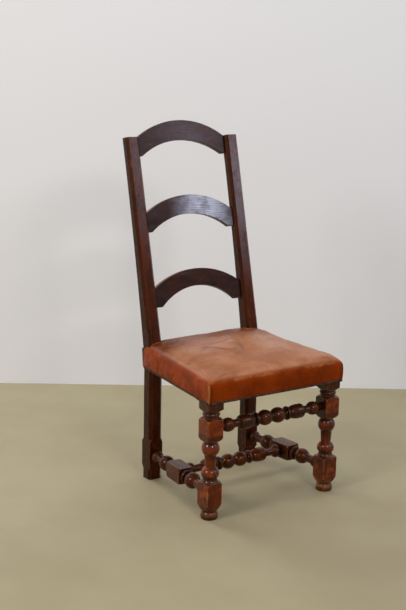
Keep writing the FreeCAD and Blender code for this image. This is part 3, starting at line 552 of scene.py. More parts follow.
@dataclass(frozen=True)
class WoodFinish:
    """A stained and waxed wood.

    A share says how strongly a layer shows, a reach how far it goes in metres,
    and a pair of numbers where a layer starts and where it is full.
    """

    title: str
    dark: str
    mid: str
    light: str
    worn: str
    streak_scale: float = 70.0
    fibre_glow: float = 0.55
    patina: float = 0.3
    pore_share: float = 0.45
    pore_depth: float = 0.00025
    ripple: float = 0.0016
    shine: float = 0.3
    dullness: float = 0.2
    coat: float = 0.35
    coat_roughness: float = 0.22
    specular: float = 0.18
    warmth: str = "ffffff"
    wear_share: float = 0.75
    wear_reach: float = 0.0022
    # Old wax and dirt in the hollows, with painted shade there
    scratch_share: float = 0.35
    grime_and_shade_share: float = 0.75
    grime_and_shade_reach: float = 0.012
    grime_and_shade_onset: float = 0.86
    grime_and_shade_reluctance: float = 0.46
    foot_wear: float = 0.0
    foot_height: tuple[float, float] = (0.055, 0.004)
    # A painted highlight on faces that point up
    crown_highlight: float = 0.0
    crown_highlight_turn: tuple[float, float] = (0.4, 0.85)
    # Painted shade on side faces, above a height with dark rings at the grooves, and at the far
    # ends
    flank_shade_share: float = 0.0
    flank_turn: tuple[float, float] = (0.45, 0.85)
    shade_above: float = 0.0
    shade_rise: float = 0.03
    shade_share: float = 0.75
    dark_rings: tuple[float, ...] = ()
    ring_reach: tuple[float, float] = (0.016, 0.003)
    ring_share: float = 0.72
    end_shade: float = 0.0
    end_reach: tuple[float, float] = (0.08, 0.19)
    painted_sheen: PaintedSheen | None = None

    def masks(self, weave: Weave, grain: Grain, seed: int) -> dict[str, Socket]:
        """Place the effects in the material.

        Args:
            weave: the material's weaver.
            grain: the way that the grain runs.
            seed: shifts the figure.

        Returns:
            Every mask and normal of the effects, and the object coordinates.
        """
        around = weave.add("TexCoord").outputs
        turn = Vector(grain.value).to_track_quat("Z", "Y").inverted().to_euler()
        shift = (seed * 0.37, seed * 0.71, seed * 1.3)
        local = weave.add("Mapping", {"Vector": around["Object"], "Rotation": turn,
                                      "Location": shift}).outputs[0]
        effects = (FIGURE.place(weave, Vector=local, Streak_Scale=self.streak_scale),
                   WEAR.place(weave, Vector=local, Reach=self.wear_reach),
                   KNOCKS.place(weave, Vector=local),
                   GRIME_AND_SHADE.place(weave, Vector=local, Depth=self.grime_and_shade_reach,
                               Onset=self.grime_and_shade_onset, Reluctance=self.grime_and_shade_reluctance))
        masks = {name: around[name] for name in ("Object", "Normal")}
        for effect in effects:
            masks.update({socket.name: socket for socket in effect.outputs})
        return masks

    def stained(self, weave: Weave, masks: dict[str, Socket]) -> Socket:
        """Lay the wood's own tones along its figure.

        Args:
            weave: the material's weaver.
            masks: the effects.

        Returns:
            The colour of clean wood.
        """
        light = srgb(self.light)
        tone = weave.mix(masks["Streak"], srgb(self.dark), srgb(self.mid))
        bright = weave.times(masks["Fibre"], masks["Cloud"])
        tone = weave.mix(weave.times(bright, self.fibre_glow), tone, light)
        tone = weave.mix(weave.times(masks["Patches"], self.patina), tone, light)
        return weave.mix(weave.times(masks["Pores"], self.pore_share), tone, DirtAndShade.PORE.tone)

    def painted_shade(self, weave: Weave, masks: dict[str, Socket], tone: Socket) -> Socket:
        """Paint shade on the flanks, the head and turned necks, and the far ends, as asked.

        Args:
            weave: the material's weaver.
            masks: the effects.
            tone: the colour before.

        Returns:
            The colour after.
        """
        if self.flank_shade_share:
            aside = weave.size(weave.part(masks["Normal"], 0))
            flank_shade = weave.span(aside, *self.flank_turn, 0.0, self.flank_shade_share)
            tone = weave.mix(flank_shade, tone, DirtAndShade.FLANK.tone)
        if self.shade_above:
            height = weave.part(masks["Object"], 2)
            neck_and_ring_shade = weave.span(height, self.shade_above, self.shade_above + self.shade_rise,
                               0.0, self.shade_share)
            # Dark rings at the turned grooves: painted shade there, with old wax
            for ring in self.dark_rings:
                away = weave.size(weave.minus(height, ring))
                ringed = weave.span(away, *self.ring_reach, 0.0, self.ring_share)
                neck_and_ring_shade = weave.more(neck_and_ring_shade, ringed)
            neck_and_ring_shade = weave.times(neck_and_ring_shade, weave.span(masks["Cloud"], 0.0, 0.7, 0.7, 1.0))
            tone = weave.mix(neck_and_ring_shade, tone, DirtAndShade.NECK.tone)
        if self.end_shade:
            out = weave.size(weave.part(masks["Object"], 0))
            tone = weave.mix(weave.span(out, *self.end_reach, 0.0, self.end_shade), tone,
                             DirtAndShade.SLAT_END_SHADE.tone)
        return tone

    def rubbed(self, weave: Weave, masks: dict[str, Socket]) -> Socket:
        """Draw where the wood is rubbed: its edges and, as asked, its foot; and a painted
        highlight on its crown.

        Args:
            weave: the material's weaver.
            masks: the effects.

        Returns:
            How rubbed each place is.
        """
        worn = weave.times(masks["Worn"], self.wear_share)
        if self.foot_wear:
            height = weave.part(masks["Object"], 2)
            low = weave.span(height, *self.foot_height, 0.0, self.foot_wear)
            worn = weave.more(worn, weave.times(low, masks["Cloud"]))
        # A painted highlight on faces that point up
        if self.crown_highlight:
            upward = weave.part(masks["Normal"], 2)
            lit_crown = weave.span(upward, *self.crown_highlight_turn, 0.0, self.crown_highlight)
            patchy = weave.span(masks["Cloud"], 0.1, 0.8, 0.4, 1.0)
            worn = weave.more(worn, weave.times(lit_crown, patchy))
        return worn

    def roughened(self, weave: Weave, masks: dict[str, Socket]) -> Socket:
        """Dull the polish unevenly, most in grime and pores.

        Args:
            weave: the material's weaver.
            masks: the effects.

        Returns:
            The roughness.
        """
        uneven = weave.times(weave.plus(masks["Cloud"], masks["Haze"]), 0.5)
        rough = weave.plus(weave.times(uneven, self.dullness), self.shine)
        for name, share in (("Grime", 0.25), ("Pores", 0.12)):
            rough = weave.maths("ADD", rough, weave.times(masks[name], share), clamp=True)
        return rough

    def textured(self, weave: Weave, masks: dict[str, Socket]) -> Socket:
        """Raise the fibres and sink pores, dents and scratches over the plane's ripple.

        Args:
            weave: the material's weaver.
            masks: the effects.

        Returns:
            The bumped normal.
        """
        height = weave.minus(weave.times(masks["Fibre"], 0.35), masks["Pores"])
        for name, depth in (("Dents", 1.6), ("Scratches", 0.5)):
            height = weave.minus(height, weave.times(masks[name], depth))
        planed = weave.raised(masks["Ripple"], self.ripple, Normal=masks["Rounded Normal"])
        return weave.raised(height, self.pore_depth, 0.8, Normal=planed)

    def make(self, piece: str, grain: Grain, seed: int) -> bpy.types.Material:
        """Build the finish for one piece.

        Args:
            piece: the piece's name, for the material's own.
            grain: the way that the grain runs.
            seed: shifts the figure, so that no two boards match.

        Returns:
            The material.
        """
        material, weave, shader = new_material(self.title + " " + piece)
        masks = self.masks(weave, grain, seed)
        worn = srgb(self.worn)
        tone = self.painted_shade(weave, masks, self.stained(weave, masks))
        tone = weave.mix(self.rubbed(weave, masks), tone, worn)
        tone = weave.mix(weave.times(masks["Scratches"], self.scratch_share), tone, worn)
        # Old wax and grime in the hollows, with painted shade there
        tone = weave.mix(weave.times(masks["Grime"], self.grime_and_shade_share), tone, DirtAndShade.OLD_WAX_AND_SHADE.tone)
        # Painted sheen: a reflection painted into the colour of the fronts
        if self.painted_sheen:
            tone = weave.mix(self.painted_sheen.wire(weave, masks), tone, srgb(self.painted_sheen.tone))
        weave.feed(shader, {"Base Color": tone, "Roughness": self.roughened(weave, masks),
                            "Normal": self.textured(weave, masks), "Coat Weight": self.coat,
                            "Coat Roughness": self.coat_roughness,
                            "Specular IOR Level": self.specular,
                            "Specular Tint": srgb(self.warmth)})
        return material


@dataclass(frozen=True)
class HideFinish:
    """Tanned leather, dyed, sat on and scuffed, with painted sheen, highlight and shade.

    The mesh carries how much each place is scuffed and soiled, and where sheen, highlight and
    shade are painted on it.
    """

    title: str
    side: str
    side_dark: str
    # The top's tones are painted paler and greyer than the sides, as sheen on the top; rear is its
    # deeper orange where less sheen is painted
    top: str
    top_dark: str
    rear: str
    scuff_and_highlight_tone: str
    crease_shade_tone: str
    sheen_patch: str = "ba9a92"
    pebble_depth: float = 0.0003
    roughness: tuple[float, float] = (0.27, 0.47)
    coat: float = 0.02
    coat_roughness: float = 0.3
    specular: float = 0.13
    warmth: str = "ff9c60"

    def make(self) -> bpy.types.Material:
        """Build the leather.

        Returns:
            The material.
        """
        material, weave, shader = new_material(self.title)
        place = weave.place()
        hide = HIDE.place(weave, Vector=place).outputs
        knocks = KNOCKS.place(weave, Vector=place).outputs
        marks = {name: weave.add("Attribute", attribute_name=name).outputs["Fac"]
                 for name in LEATHER_MARKS}
        side = weave.mix(hide["Mottle"], srgb(self.side_dark), srgb(self.side))
        top = weave.mix(hide["Mottle"], srgb(self.top_dark), srgb(self.top))
        # The top takes its painted sheen, less of it towards the back and left
        tone = weave.mix(marks["top"], side, weave.mix(marks["rich"], top, srgb(self.rear)))
        patchy = weave.minus(weave.plus(knocks["Haze"], hide["Scrapes"]), 1.0)
        rubbed = weave.span(weave.plus(marks["scuff"], weave.times(patchy, 0.6)), 0.18, 1.0)
        sheen_patch = weave.times(marks["pale"], weave.span(hide["Mottle"], 0.0, 1.0, 0.35, 1.0))
        # Scuffs with painted highlights beside creases, patches of painted sheen, painted shade in
        # creases, soil, scratches and crackle
        for share, layer in ((rubbed, srgb(self.scuff_and_highlight_tone)), (sheen_patch, srgb(self.sheen_patch)),
                             (marks["crease"], srgb(self.crease_shade_tone)),
                             (weave.times(marks["soil"], 0.8), DirtAndShade.HAND_SOIL.tone),
                             (weave.times(knocks["Scratches"], 0.4), srgb(self.scuff_and_highlight_tone)),
                             (weave.times(hide["Crackle"], 0.08), srgb(self.crease_shade_tone))):
            tone = weave.mix(share, tone, layer)
        rough = weave.span(knocks["Haze"], 0.0, 1.0, *self.roughness)
        rough = weave.maths("ADD", rough, weave.times(rubbed, 0.15), clamp=True)
        height = weave.minus(hide["Pebble"], weave.times(hide["Crackle"], 0.3))
        height = weave.minus(height, weave.times(knocks["Dents"], 1.2))
        weave.feed(shader, {"Base Color": tone, "Roughness": rough,
                            "Normal": weave.raised(height, self.pebble_depth, 0.7),
                            "Coat Weight": self.coat, "Coat Roughness": self.coat_roughness,
                            "Specular IOR Level": self.specular,
                            "Specular Tint": srgb(self.warmth)})
        return material


@dataclass(frozen=True)
class BandFinish:
    """The dark strip that the nails go through."""

    title: str
    tone: str
    light: str
    roughness: float = 0.5

    def make(self) -> bpy.types.Material:
        """Build the leather.

        Returns:
            The material.
        """
        material, weave, shader = new_material(self.title)
        hide = HIDE.place(weave, Vector=weave.place()).outputs
        tone = weave.mix(hide["Mottle"], srgb(self.tone), srgb(self.light))
        weave.feed(shader, {"Base Color": tone, "Roughness": self.roughness,
                            "Normal": weave.raised(hide["Pebble"], 0.0003)})
        return material


@dataclass(frozen=True)
class NailFinish:
    """Small brass nails, dulled, with dirt and painted shade where they meet the leather."""

    title: str
    bright: str
    dull: str
    roughness: tuple[float, float] = (0.28, 0.5)
    metal: tuple[float, float] = (0.85, 0.3)

    def make(self) -> bpy.types.Material:
        """Build the metal.

        Returns:
            The material.
        """
        material, weave, shader = new_material(self.title)
        place = weave.place()
        tarnish = weave.span(weave.speckle(place, 130.0, 3.0), 0.35, 0.65)
        grime_and_shade = GRIME_AND_SHADE.place(weave, Vector=place, Depth=0.003).outputs["Grime"]
        tone = weave.mix(tarnish, srgb(self.bright), srgb(self.dull))
        weave.feed(shader, {"Base Color": weave.mix(grime_and_shade, tone, DirtAndShade.NAIL_DIRT_AND_SHADE.tone),
                            "Roughness": weave.span(tarnish, 0.0, 1.0, *self.roughness),
                            "Metallic": weave.span(grime_and_shade, 0.0, 1.0, *self.metal)})
        return material


@dataclass(frozen=True)
class ThreadFinish:
    """A woven cloth of plain threads."""

    title: str
    warp: str
    weft: str
    pitch: float
    depth: float
    roughness: float = 0.92
    sheen: float = 0.15

    def make(self, turn: float = 0.0) -> bpy.types.Material:
        """Build the cloth.

        Args:
            turn: how far the threads are turned about Z, in radians.

        Returns:
            The material.
        """
        material, weave, shader = new_material(self.title)
        place = weave.place()
        local = weave.stretched(place, (1.0, 1.0, 1.0), (0.0, 0.0, turn))
        cloth = CLOTH.place(weave, Vector=local, Pitch=self.pitch).outputs
        dust = weave.span(weave.speckle(place, 34.0, 5.0), 0.3, 0.7)
        tone = weave.mix(cloth["Thread"], srgb(self.weft), srgb(self.warp))
        weave.feed(shader, {"Base Color": weave.mix(weave.times(dust, 0.35), tone, DirtAndShade.DUST.tone),
                            "Normal": weave.raised(cloth["Height"], self.depth, 0.9),
                            "Roughness": self.roughness, "Sheen Weight": self.sheen})
        return material


# The posts carry painted shade on their side faces
POST_WOOD = WoodFinish("post wood", dark="180500", mid="421300", light="642204", worn="9a6238",
                       shine=0.2, dullness=0.2, coat=0.1, coat_roughness=0.18, flank_shade_share=0.6,
                       warmth="ffc090")
# The slats carry painted shade at their ends and a painted highlight along their top edges
SLAT_WOOD = WoodFinish("slat wood", dark="140501", mid="2c0e05", light="441806", worn="94603a",
                       shine=0.17, dullness=0.28, coat=0.08, coat_roughness=0.19, wear_share=0.9,
                       ripple=0.003, end_shade=0.6, crown_highlight=0.6, warmth="ffe0d0")
# The legs' wide light arrises are edge wear and painted highlight; painted shade lies in their
# hollows, grooves and necks under the seat
LEG_WOOD = WoodFinish("leg wood", streak_scale=90.0, dark="3a0e02", mid="4e1802", light="9a3e04",
                      worn="cc8238", shine=0.14, dullness=0.08, coat=0.5, coat_roughness=0.045,
                      wear_reach=0.004, patina=0.65, pore_share=0.05, grime_and_shade_share=0.97,
                      grime_and_shade_reach=0.03, grime_and_shade_onset=0.98, grime_and_shade_reluctance=0.2, foot_wear=0.95,
                      shade_above=0.314, dark_rings=(0.262, 0.2, 0.133, 0.032), warmth="ffa860")
STRETCHER_WOOD = WoodFinish("stretcher wood", dark="1a0700", mid="3c1500", light="642a04",
                            worn="8a5028", shine=0.19, dullness=0.12, coat=0.24,
                            coat_roughness=0.06, patina=0.5, pore_share=0.12,
                            grime_and_shade_share=0.92, grime_and_shade_reach=0.02,
                            grime_and_shade_onset=0.95, grime_and_shade_reluctance=0.34, warmth="ffb888")
RAIL_WOOD = WoodFinish("rail wood", dark="4a3320", mid="6b4a2c", light="8a6540", worn="9a7850",
                       shine=0.62, dullness=0.2, coat=0.0, wear_share=0.4, grime_and_shade_share=0.5)
PEG_WOOD = WoodFinish("peg wood", dark="2a170f", mid="4a2a1a", light="6a4028", worn="8a5c3c",
                      shine=0.4, coat=0.15)
LEATHER = HideFinish("seat leather", side="883402", side_dark="702600", top="ac7656",
                     top_dark="98603f", rear="622c0c", scuff_and_highlight_tone="a66a42", crease_shade_tone="5a2410")
HEM_LEATHER = HideFinish("hem leather", side="96502c", side_dark="76381c", top="9c5834",
                         top_dark="7c4226", rear="7c4226", scuff_and_highlight_tone="bc8058", crease_shade_tone="5a2410")
BAND_LEATHER = BandFinish("band leather", tone="1c0f0a", light="38201a")
NAIL_BRASS = NailFinish("nail brass", bright="604628", dull="281a10")
WEBBING = ThreadFinish("webbing", warp="b89c68", weft="8c7048", pitch=0.0022, depth=0.0006)
HESSIAN = ThreadFinish("hessian", warp="b8986a", weft="7c6240", pitch=0.0017, depth=0.0007)


def new_piece(name: str, vertices: Iterable[Sequence[float]], faces: Iterable[Sequence[int]],
              material: bpy.types.Material, smooth: bool = True) -> bpy.types.Object:
    """Make an object from points and faces and give it a finish.

    Args:
        name: the piece's name.
        vertices: its points, in metres.
        faces: the point numbers of each face.
        material: its finish.
        smooth: shade its faces smoothly.

    Returns:
        The object.
    """
    mesh = bpy.data.meshes.new(name)
    mesh.from_pydata([tuple(float(x) for x in point) for point in vertices], [],
                     [tuple(int(i) for i in face) for face in faces])
    mesh.validate()
    mesh.materials.append(material)
    mesh.polygons.foreach_set("use_smooth", [smooth] * len(mesh.polygons))
    piece = bpy.data.objects.new(name, mesh)
    bpy.context.scene.collection.objects.link(piece)
    return piece


def baked(piece: bpy.types.Object) -> None:
    """Apply all of a piece's modifiers to its mesh.

    Args:
        piece: the piece, which keeps no modifier.
    """
    shown = piece.evaluated_get(bpy.context.evaluated_depsgraph_get())
    mesh = bpy.data.meshes.new_from_object(shown)
    piece.modifiers.clear()
    piece.data = mesh


def turned_outward(piece: bpy.types.Object) -> None:
    """Turn all the faces of a closed piece outward.

    Args:
        piece: the piece.
    """
    tidy = bmesh.new()
    tidy.from_mesh(piece.data)
    bmesh.ops.recalc_face_normals(tidy, faces=tidy.faces)
    tidy.to_mesh(piece.data)
    tidy.free()


def ring_faces(rings: int, sides: int, start: int = 0, inside_out: bool = False,
               ends: bool = False) -> list[list[int]]:
    """Join rings of points to a tube.

    Args:
        rings: how many rings there are.
        sides: how many points each has.
        start: the number of the first point.
        inside_out: turn the end faces the other way.
        ends: close both ends.

    Returns:
        The point numbers of each face.
    """
    faces = []
    for ring in range(rings - 1):
        base = start + ring * sides
        for at in range(sides):
            a, b = base + at, base + (at + 1) % sides
            faces.append([a, b, b + sides, a + sides])
    if ends:
        first = [start + at for at in range(sides)]
        last = [start + (rings - 1) * sides + at for at in range(sides)]
        faces += [first, last[::-1]] if inside_out else [first[::-1], last]
    return faces


def rows_of(items: bpy.types.bpy_prop_collection, name: str = "co") -> np.ndarray:
    """Read a vector of each of a mesh's points.

    Args:
        items: the mesh's vertices.
        name: "co" for places or "normal" for directions.

    Returns:
        Rows of x, y and z.
    """
    flat = np.zeros(len(items) * 3)
    items.foreach_get(name, flat)
    return flat.reshape(-1, 3)


def set_points(mesh: bpy.types.Mesh, points: np.ndarray) -> None:
    """Move a mesh's points."""
    mesh.vertices.foreach_set("co", np.ascontiguousarray(points, np.float32).ravel())
    mesh.update()


def mark(mesh: bpy.types.Mesh, name: str, values: np.ndarray) -> None:
    """Store one number from 0 to 1 for each point of a mesh."""
    layer = mesh.attributes.new(name, "FLOAT", "POINT")
    layer.data.foreach_set("value", np.clip(values, 0, 1).astype(np.float32))


def smoothstep(values: np.ndarray, low: float, high: float) -> np.ndarray:
    """Rise smoothly from 0 at low to 1 at high."""
    share = np.clip((values - low) / (high - low), 0, 1)
    return share * share * (3 - 2 * share)


def bell(values: np.ndarray, width: float) -> np.ndarray:
    """A bell curve about zero."""
    return np.exp(-(values / width) ** 2)


@dataclass
class Joinery:
    """The wooden frame: posts, slats, legs, stretchers, rails and pegs."""

    nodes: dict[str, bpy.types.Object]
    arris: float = 0.0011
    leg_arris: float = 0.0024
    arris_steps: int = 3
    seam: float = 0.00002
    sharp_angle: float = math.radians(32)

    def plan(self) -> list[tuple[str, WoodFinish, Grain]]:
        """Say how each wooden node is finished.

        Returns:
            Each node with its finish and the way its grain runs.
        """
        # Painted sheen where a window's reflection falls on the crest, the middle slat and the
        # posts
        crest_wood = replace(SLAT_WOOD, painted_sheen=PaintedSheen(0, -0.14, 0.2, 0.2))
        middle_wood = replace(SLAT_WOOD, painted_sheen=PaintedSheen(0, -0.09, 0.22, 1.0, "c4cce8"))
        post_woods = {Side.LEFT: replace(POST_WOOD, painted_sheen=PaintedSheen(2, 0.56, 1.34, 0.42)),
                      Side.RIGHT: replace(POST_WOOD, painted_sheen=PaintedSheen(2, 0.64, 1.44, 0.2))}
        table = ((crest_wood, Grain.ACROSS, "crest_slat"),
                 (middle_wood, Grain.ACROSS, "middle_slat"),
                 (SLAT_WOOD, Grain.ACROSS, "lower_slat"),
                 (STRETCHER_WOOD, Grain.ACROSS, "front_stretcher", "cross_stretcher"),
                 (STRETCHER_WOOD, Grain.SIDE_LEFT, "side_stretcher_left"),
                 (STRETCHER_WOOD, Grain.SIDE_RIGHT, "side_stretcher_right"),
                 (RAIL_WOOD, Grain.ACROSS, "seat_rail_front", "seat_rail_back"),
                 (RAIL_WOOD, Grain.DEEP, "seat_rail_left", "seat_rail_right"),
                 (PEG_WOOD, Grain.DEEP, "slat_pegs", "rail_pegs"))
        rows = [(name, finish, grain) for finish, grain, *names in table for name in names]
        for side in Side:
            rows.append(("rear_post_" + side.word, post_woods[side], Grain.RAKED))
            rows.append(("front_leg_" + side.word, LEG_WOOD, Grain.UPRIGHT))
        return rows

    def soften(self, piece: bpy.types.Object) -> None:
        """Join the faces of a piece and round its arrises as use does.

        Args:
            piece: the wooden node.
        """
        piece.modifiers.new("joined faces", "WELD").merge_threshold = self.seam
        bevel = piece.modifiers.new("worn arrises", "BEVEL")
        bevel.width = self.leg_arris if piece.name.startswith("front_leg") else self.arris
        bevel.segments = self.arris_steps
        bevel.limit_method = "ANGLE"
        bevel.angle_limit = self.sharp_angle
        bevel.use_clamp_overlap = True
        bevel.harden_normals = False

    def dress(self) -> None:
        """Give every wooden node its finish."""
        for seed, (name, finish, grain) in enumerate(self.plan(), start=1):
            piece = self.nodes[name]
            material = finish.make(name.replace("_", " "), grain, seed)
            piece.data.materials.clear()
            piece.data.materials.append(material)
            self.soften(piece)
            log.info("finished %s in %s", name, finish.title)


# How the seat's section runs from its lower edge to its crown. Each row has the height as a
# share of the leather's height, how far it is drawn in at the front and sides and at the rear
# as shares of half the seat's lesser width, and its corner radius as a share of half its depth
SECTION_SHARES = (
    (0.000, 0.0195, 0.0000, 0.020),
    (0.240, 0.0057, 0.0000, 0.028),
    (0.540, 0.0000, 0.0014, 0.040),
    (0.740, 0.0058, 0.0090, 0.060),
    (0.880, 0.0250, 0.0260, 0.095),
    (0.965, 0.0630, 0.0620, 0.150),
    (1.012, 0.1100, 0.1080, 0.220),
)
# How high the crown is, as a share of the leather's height, at a share of the way in
CROWN_SHARES = ((0.0, 1.012), (0.1, 1.060), (0.25, 1.118), (0.45, 1.170), (0.7, 1.208),
                (1.0, 1.230))
# Loops of the cover's inner face: the share of the cover's thickness, and the height in metres
INNER_LOOPS = ((0.6, 0.0005), (1.0, 0.002), (1.0, 0.02), (1.0, 0.045))
# How the leather behaves as cloth while air pressure swells it
CLOTH_SETTINGS = {"quality": 5, "mass": 0.6, "tension_stiffness": 30,
                  "compression_stiffness": 30, "shear_stiffness": 12, "bending_stiffness": 2.5,
                  "shrink_min": -0.012, "use_pressure": True, "uniform_pressure_force": 4.0}
# A nail's head: rings as shares of its radius and of its height
NAIL_RINGS = ((1.0, 0.0), (0.99, 0.28), (0.80, 0.68), (0.45, 0.93))
FINE_STEPS = 200


@dataclass
class Crease:
    """A soft fold in the top of the leather, in metres and radians."""

    x: float
    y: float
    heading: float
    length: float
    width: float
    depth: float
    meander: float = 0.006

    def along_and_off(self, points: np.ndarray) -> tuple[np.ndarray, np.ndarray]:
        """Measure points from the fold.

        Args:
            points: the leather's points.

        Returns:
            How far along the fold and how far beside it each point is.
        """
        ahead = np.array([math.cos(self.heading), math.sin(self.heading)])
        plan = points[:, :2] - (self.x, self.y)
        along, off = plan @ ahead, plan @ np.array([-ahead[1], ahead[0]])
        return along, off + self.meander * np.sin(along / self.length * 2.2)


@dataclass
class Hide:
    """The leather's points, where each lies, and what is done to it."""

    points: np.ndarray
    normals: np.ndarray
    level: np.ndarray
    top: np.ndarray
    outside: np.ndarray
    to_post: np.ndarray
    push: np.ndarray
    marks: dict[str, np.ndarray]


@dataclass
class Posts:
    """The rear posts where they pass the seat: section, and how they lean above a height."""

    low: Vector
    high: Vector
    kink: float
    rake: float

    def bar(self, side: Side, clear: float, reach: float, base: float,
            top: float) -> tuple[list[tuple[float, float, float]], list[list[int]]]:
        """Lay out a bar a little larger than a post, between two heights.

        Args:
            side: which post.
            clear: how much larger it is at the sides and the front.
            reach: how much further it goes at the back.
            base: its lower end.
            top: its upper end.

        Returns:
            Its points and faces.
        """
        x0, x1 = self.low.x - clear, self.high.x + clear
        y0, y1 = self.low.y - clear, self.high.y + reach
        levels = ((base, 0.0), (self.kink, 0.0), (top, (top - self.kink) * self.rake))
        points = [(side.value * x, y + lean, z) for z, lean in levels
                  for x, y in ((x0, y0), (x1, y0), (x1, y1), (x0, y1))]
        return points, ring_faces(len(levels), 4, ends=True)


@dataclass
class LeatherCover:
    """The padded seat: a closed cover of simulated leather, worked and worn."""

    low: Vector
    high: Vector
    posts: Posts
    leg_high: Vector
    hessian_top: float
    rail_face: float
    slope: float = 0.009
    height: float = 0.080
    crown_tilt: float = 0.11
    crown_power: float = 3.2
    cells_across: int = 78
    cells_deep: int = 64
    skirt_rings: int = 19
    corner_loss: float = 0.00175
    least_corner: float = 0.002
    post_margin: float = 0.0024
    cover: float = 0.0085
    inner_corner: float = 0.004
    head_clearance: float = 0.0014
    swell_cap: float = 0.004
    swell_frames: int = 20
    held_margin: float = 0.004
    sharp_angle: float = math.radians(50)
    post_clearance: float = 0.0004
    pleat_reach: float = 0.011
    pleat_width: float = 0.0030
    sag: float = 0.0012
    rear_rise: float = 0.0034
    creases: list[Crease] = field(default_factory=lambda: [
        Crease(-0.078, -0.104, -0.75, 0.036, 0.009, 0.0036),
        Crease(0.004, -0.085, 1.25, 0.075, 0.020, 0.0030),
        Crease(-0.060, -0.165, 0.75, 0.065, 0.020, 0.0022),
        Crease(-0.043, -0.044, 0.35, 0.045, 0.012, 0.0018),
        Crease(-0.135, -0.085, 0.95, 0.050, 0.013, 0.0014),
    ])
    skirt: np.ndarray = field(init=False)
    surface: BVHTree = field(init=False)

    def __post_init__(self) -> None:
        """Work out the plan of the seat from its box and the posts'."""
        self.front_half = self.high.x + self.corner_loss
        self.rear_half = self.posts.high.x + self.post_margin
        self.front, self.rear = self.low.y, self.high.y
        self.bottom = self.low.z
        self.depth = self.rear - self.front
        self.lesser_half = min(self.depth / 2, self.rear_half)
        self.rim = 2 * (self.cells_across + self.cells_deep)

    def lift(self, y: np.ndarray, level: np.ndarray) -> np.ndarray:
        """Turn a level above the lower edge at the front into a height from the floor."""
        rise = self.slope + self.crown_tilt * level
        return self.bottom + level + rise * (y - self.front) / self.depth

    def loop(self, at_front: float, at_rear: float, corner: float) -> np.ndarray:
        """Walk round one section of the seat.

        Args:
            at_front: how far it is drawn in at the front and sides.
            at_rear: how far it is drawn in at the rear.
            corner: its corner radius.

        Returns:
            A point in plan for each point of the rim, starting at the front right corner.
        """
        near, far = self.front + at_front, self.rear - at_rear
        wide, narrow = self.front_half - at_front, self.rear_half - at_rear
        corners = [Vector((-wide, near)), Vector((wide, near)), Vector((narrow, far)),
                   Vector((-narrow, far))]
        points = []
        for number, count in enumerate([self.cells_across, self.cells_deep] * 2):
            start, end = corners[number], corners[(number + 1) % 4]
            run = (end - start).length
            along = (end - start) / run
            before = (corners[number - 1] - start).normalized()
            after = (corners[(number + 2) % 4] - end).normalized()
            for step in range(count):
                gone = run * step / count
                if gone < corner:
                    share = 0.5 + 0.5 * gone / corner
                    points.append(self.bend(start, before, along, corner, share))
                elif run - gone < corner:
                    share = 0.5 - 0.5 * (run - gone) / corner
                    points.append(self.bend(end, -along, after, corner, share))
                else:
                    points.append(start + along * gone)
        return np.array([(point.x, point.y) for point in points])

    @staticmethod
    def bend(corner: Vector, back: Vector, ahead: Vector, reach: float, share: float) -> Vector:
        """Find a point on the round curve that cuts off a corner.

        Args:
            corner: the corner.
            back: the direction of the side before it, from the corner.
            ahead: the direction of the side after it.
            reach: how far from the corner the curve starts and ends.
            share: how far along the curve the point is.

        Returns:
            The point.
        """
        weight = math.sqrt(0.5)
        first, middle, last = (1 - share) ** 2, 2 * share * (1 - share) * weight, share ** 2
        total = (corner + back * reach) * first + corner * middle + (corner + ahead * reach) * last
        return total / (first + middle + last)

    def profile(self) -> list[tuple[float, float, float, float]]:
        """Space sections evenly from the lower edge to the edge of the crown.

        Returns:
            Rows like those of SECTION_SHARES.
        """
        rows = np.array(SECTION_SHARES)
        fine = np.linspace(0, len(rows) - 1, FINE_STEPS)
        dense = np.column_stack([self.through(column, fine) for column in rows.T])
        steps = np.hypot(np.diff(dense[:, 0]) * self.height,
                         np.diff(dense[:, 1]) * self.lesser_half)
        gone = np.concatenate([[0], np.cumsum(steps)])
        wanted = np.linspace(0, gone[-1], self.skirt_rings)
        return [tuple(np.interp(way, gone, column) for column in dense.T) for way in wanted]

    @staticmethod
    def through(values: np.ndarray, at: np.ndarray) -> np.ndarray:
        """Draw a smooth curve through evenly spaced values.

        Args:
            values: what the curve passes through.
            at: where to read it, in steps between values.

        Returns:
            The curve there.
        """
        padded = np.concatenate([[2 * values[0] - values[1]], values,
                                 [2 * values[-1] - values[-2]]])
        base = np.minimum(at.astype(int), len(values) - 2)
        t = at - base
        p0, p1, p2, p3 = (padded[base + shift] for shift in range(4))
        return 0.5 * (2 * p1 + (p2 - p0) * t + (2 * p0 - 5 * p1 + 4 * p2 - p3) * t ** 2
                      + (3 * p1 - p0 - 3 * p2 + p3) * t ** 3)

